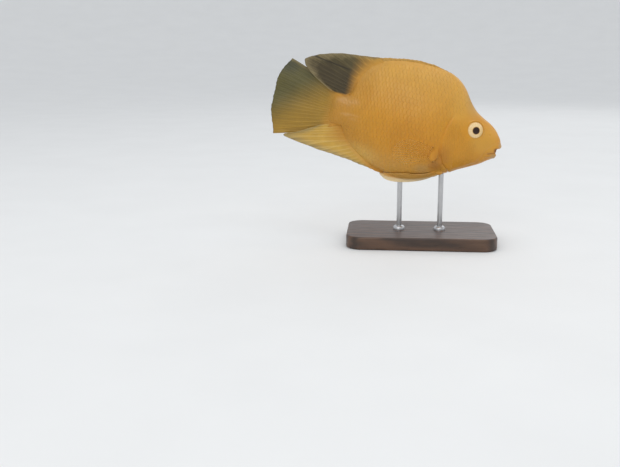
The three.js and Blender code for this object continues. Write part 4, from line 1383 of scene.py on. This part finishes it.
fish_nodes = [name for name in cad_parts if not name.startswith("stand_")]
corners = np.array([[tuple(corner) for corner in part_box(name)] for name in fish_nodes])
fish_low, fish_high = corners[:, 0].min(0), corners[:, 1].max(0)
target = Vector((fish_low + fish_high) / 2)
focal = LENS / SENSOR * PICTURE[0]
ray = Vector(((FISH_PIXEL[0] - PICTURE[0] / 2) / focal, (PICTURE[1] / 2 - FISH_PIXEL[1]) / focal, -1))
camera = bpy.data.objects.new("camera", bpy.data.cameras.new("camera"))
camera.data.lens = LENS
camera.data.sensor_width = SENSOR
tilt_down = LOOKING_DOWN + math.atan(ray.y)
turn_left = math.atan(ray.x / math.cos(tilt_down))
facing = Matrix.Rotation(turn_left, 3, "Z") @ Matrix.Rotation(math.radians(90) - tilt_down, 3, "X")
camera.matrix_world = Matrix.Translation(target - facing @ (ray * FISH_DEPTH)) @ facing.to_4x4()
camera.data.clip_start = 0.01
bpy.context.scene.collection.objects.link(camera)
bpy.context.scene.camera = camera

# Floor
# A pale matt table that curves up far away on every side, so that no horizon shows.

FLOOR_PROFILE = [(0.0, 0.0), (0.8, 0.0), (1.6, 0.0), (2.4, 0.08), (3.2, 0.36), (3.9, 0.85), (4.4, 1.5)]
FLOOR_DROP = 0.00005


def floor_finish():
    """Pale matt board with a barely seen mottle."""
    material, tree, shader = new_finish("pale board", Specular_IOR_Level=0.2)
    place = node(tree, "TexCoord").outputs["Object"]
    colour = blended(tree, noise(tree, place, 14.0), paint(226, 226, 224), paint(232, 232, 230))
    tree.links.new(colour, shader.inputs["Base Color"])
    roughness = calc(tree, "MULTIPLY_ADD", noise(tree, place, 90.0), 0.1, 0.75)
    tree.links.new(roughness, shader.inputs["Roughness"])
    return material


bowl = bmesh.new()
steps = even_line([(radius, 0, height) for radius, height in FLOOR_PROFILE], np.linspace(0, 1, 49))
turned(bowl, [(max(x, 0), 0, max(z, 0) - FLOOR_DROP) for x, _, z in steps], (0, 0, 1), 96)
bowl_mesh = mesh_from(bowl, "floor")
bowl_mesh.flip_normals()
for polygon in bowl_mesh.polygons:
    polygon.use_smooth = True
bowl_mesh.materials.append(floor_finish())
floor = bpy.data.objects.new("floor", bowl_mesh)
bpy.context.scene.collection.objects.link(floor)

# Light
# Soft studio light: a broad lamp overhead, a large one in front, and weaker ones behind.

LAMPS = [
    ("overhead", (0.05, -0.15, 0.95), 0.9, 2.2),
    ("front", (-0.35, -1.25, 0.75), 0.8, 3.0),
    ("back", (0.4, 1.2, 0.8), 0.9, 1.6),
    ("side", (1.3, 0.1, 0.6), 0.7, 0.8),
]
for name, place, size, power in LAMPS:
    lamp = bpy.data.lights.new(name, "AREA")
    lamp.shape = "DISK"
    lamp.size = size
    lamp.energy = power
    lamp_object = bpy.data.objects.new(name, lamp)
    lamp_object.location = place
    lamp_object.rotation_euler = (Vector(place) - target).to_track_quat("Z", "Y").to_euler()
    bpy.context.scene.collection.objects.link(lamp_object)

world = bpy.data.worlds.new("studio")
world.use_nodes = True
world.node_tree.nodes["Background"].inputs["Color"].default_value = (0.92, 0.95, 1.0, 1.0)
world.node_tree.nodes["Background"].inputs["Strength"].default_value = 0.85
bpy.context.scene.world = world
bpy.context.scene.view_settings.view_transform = "Standard"
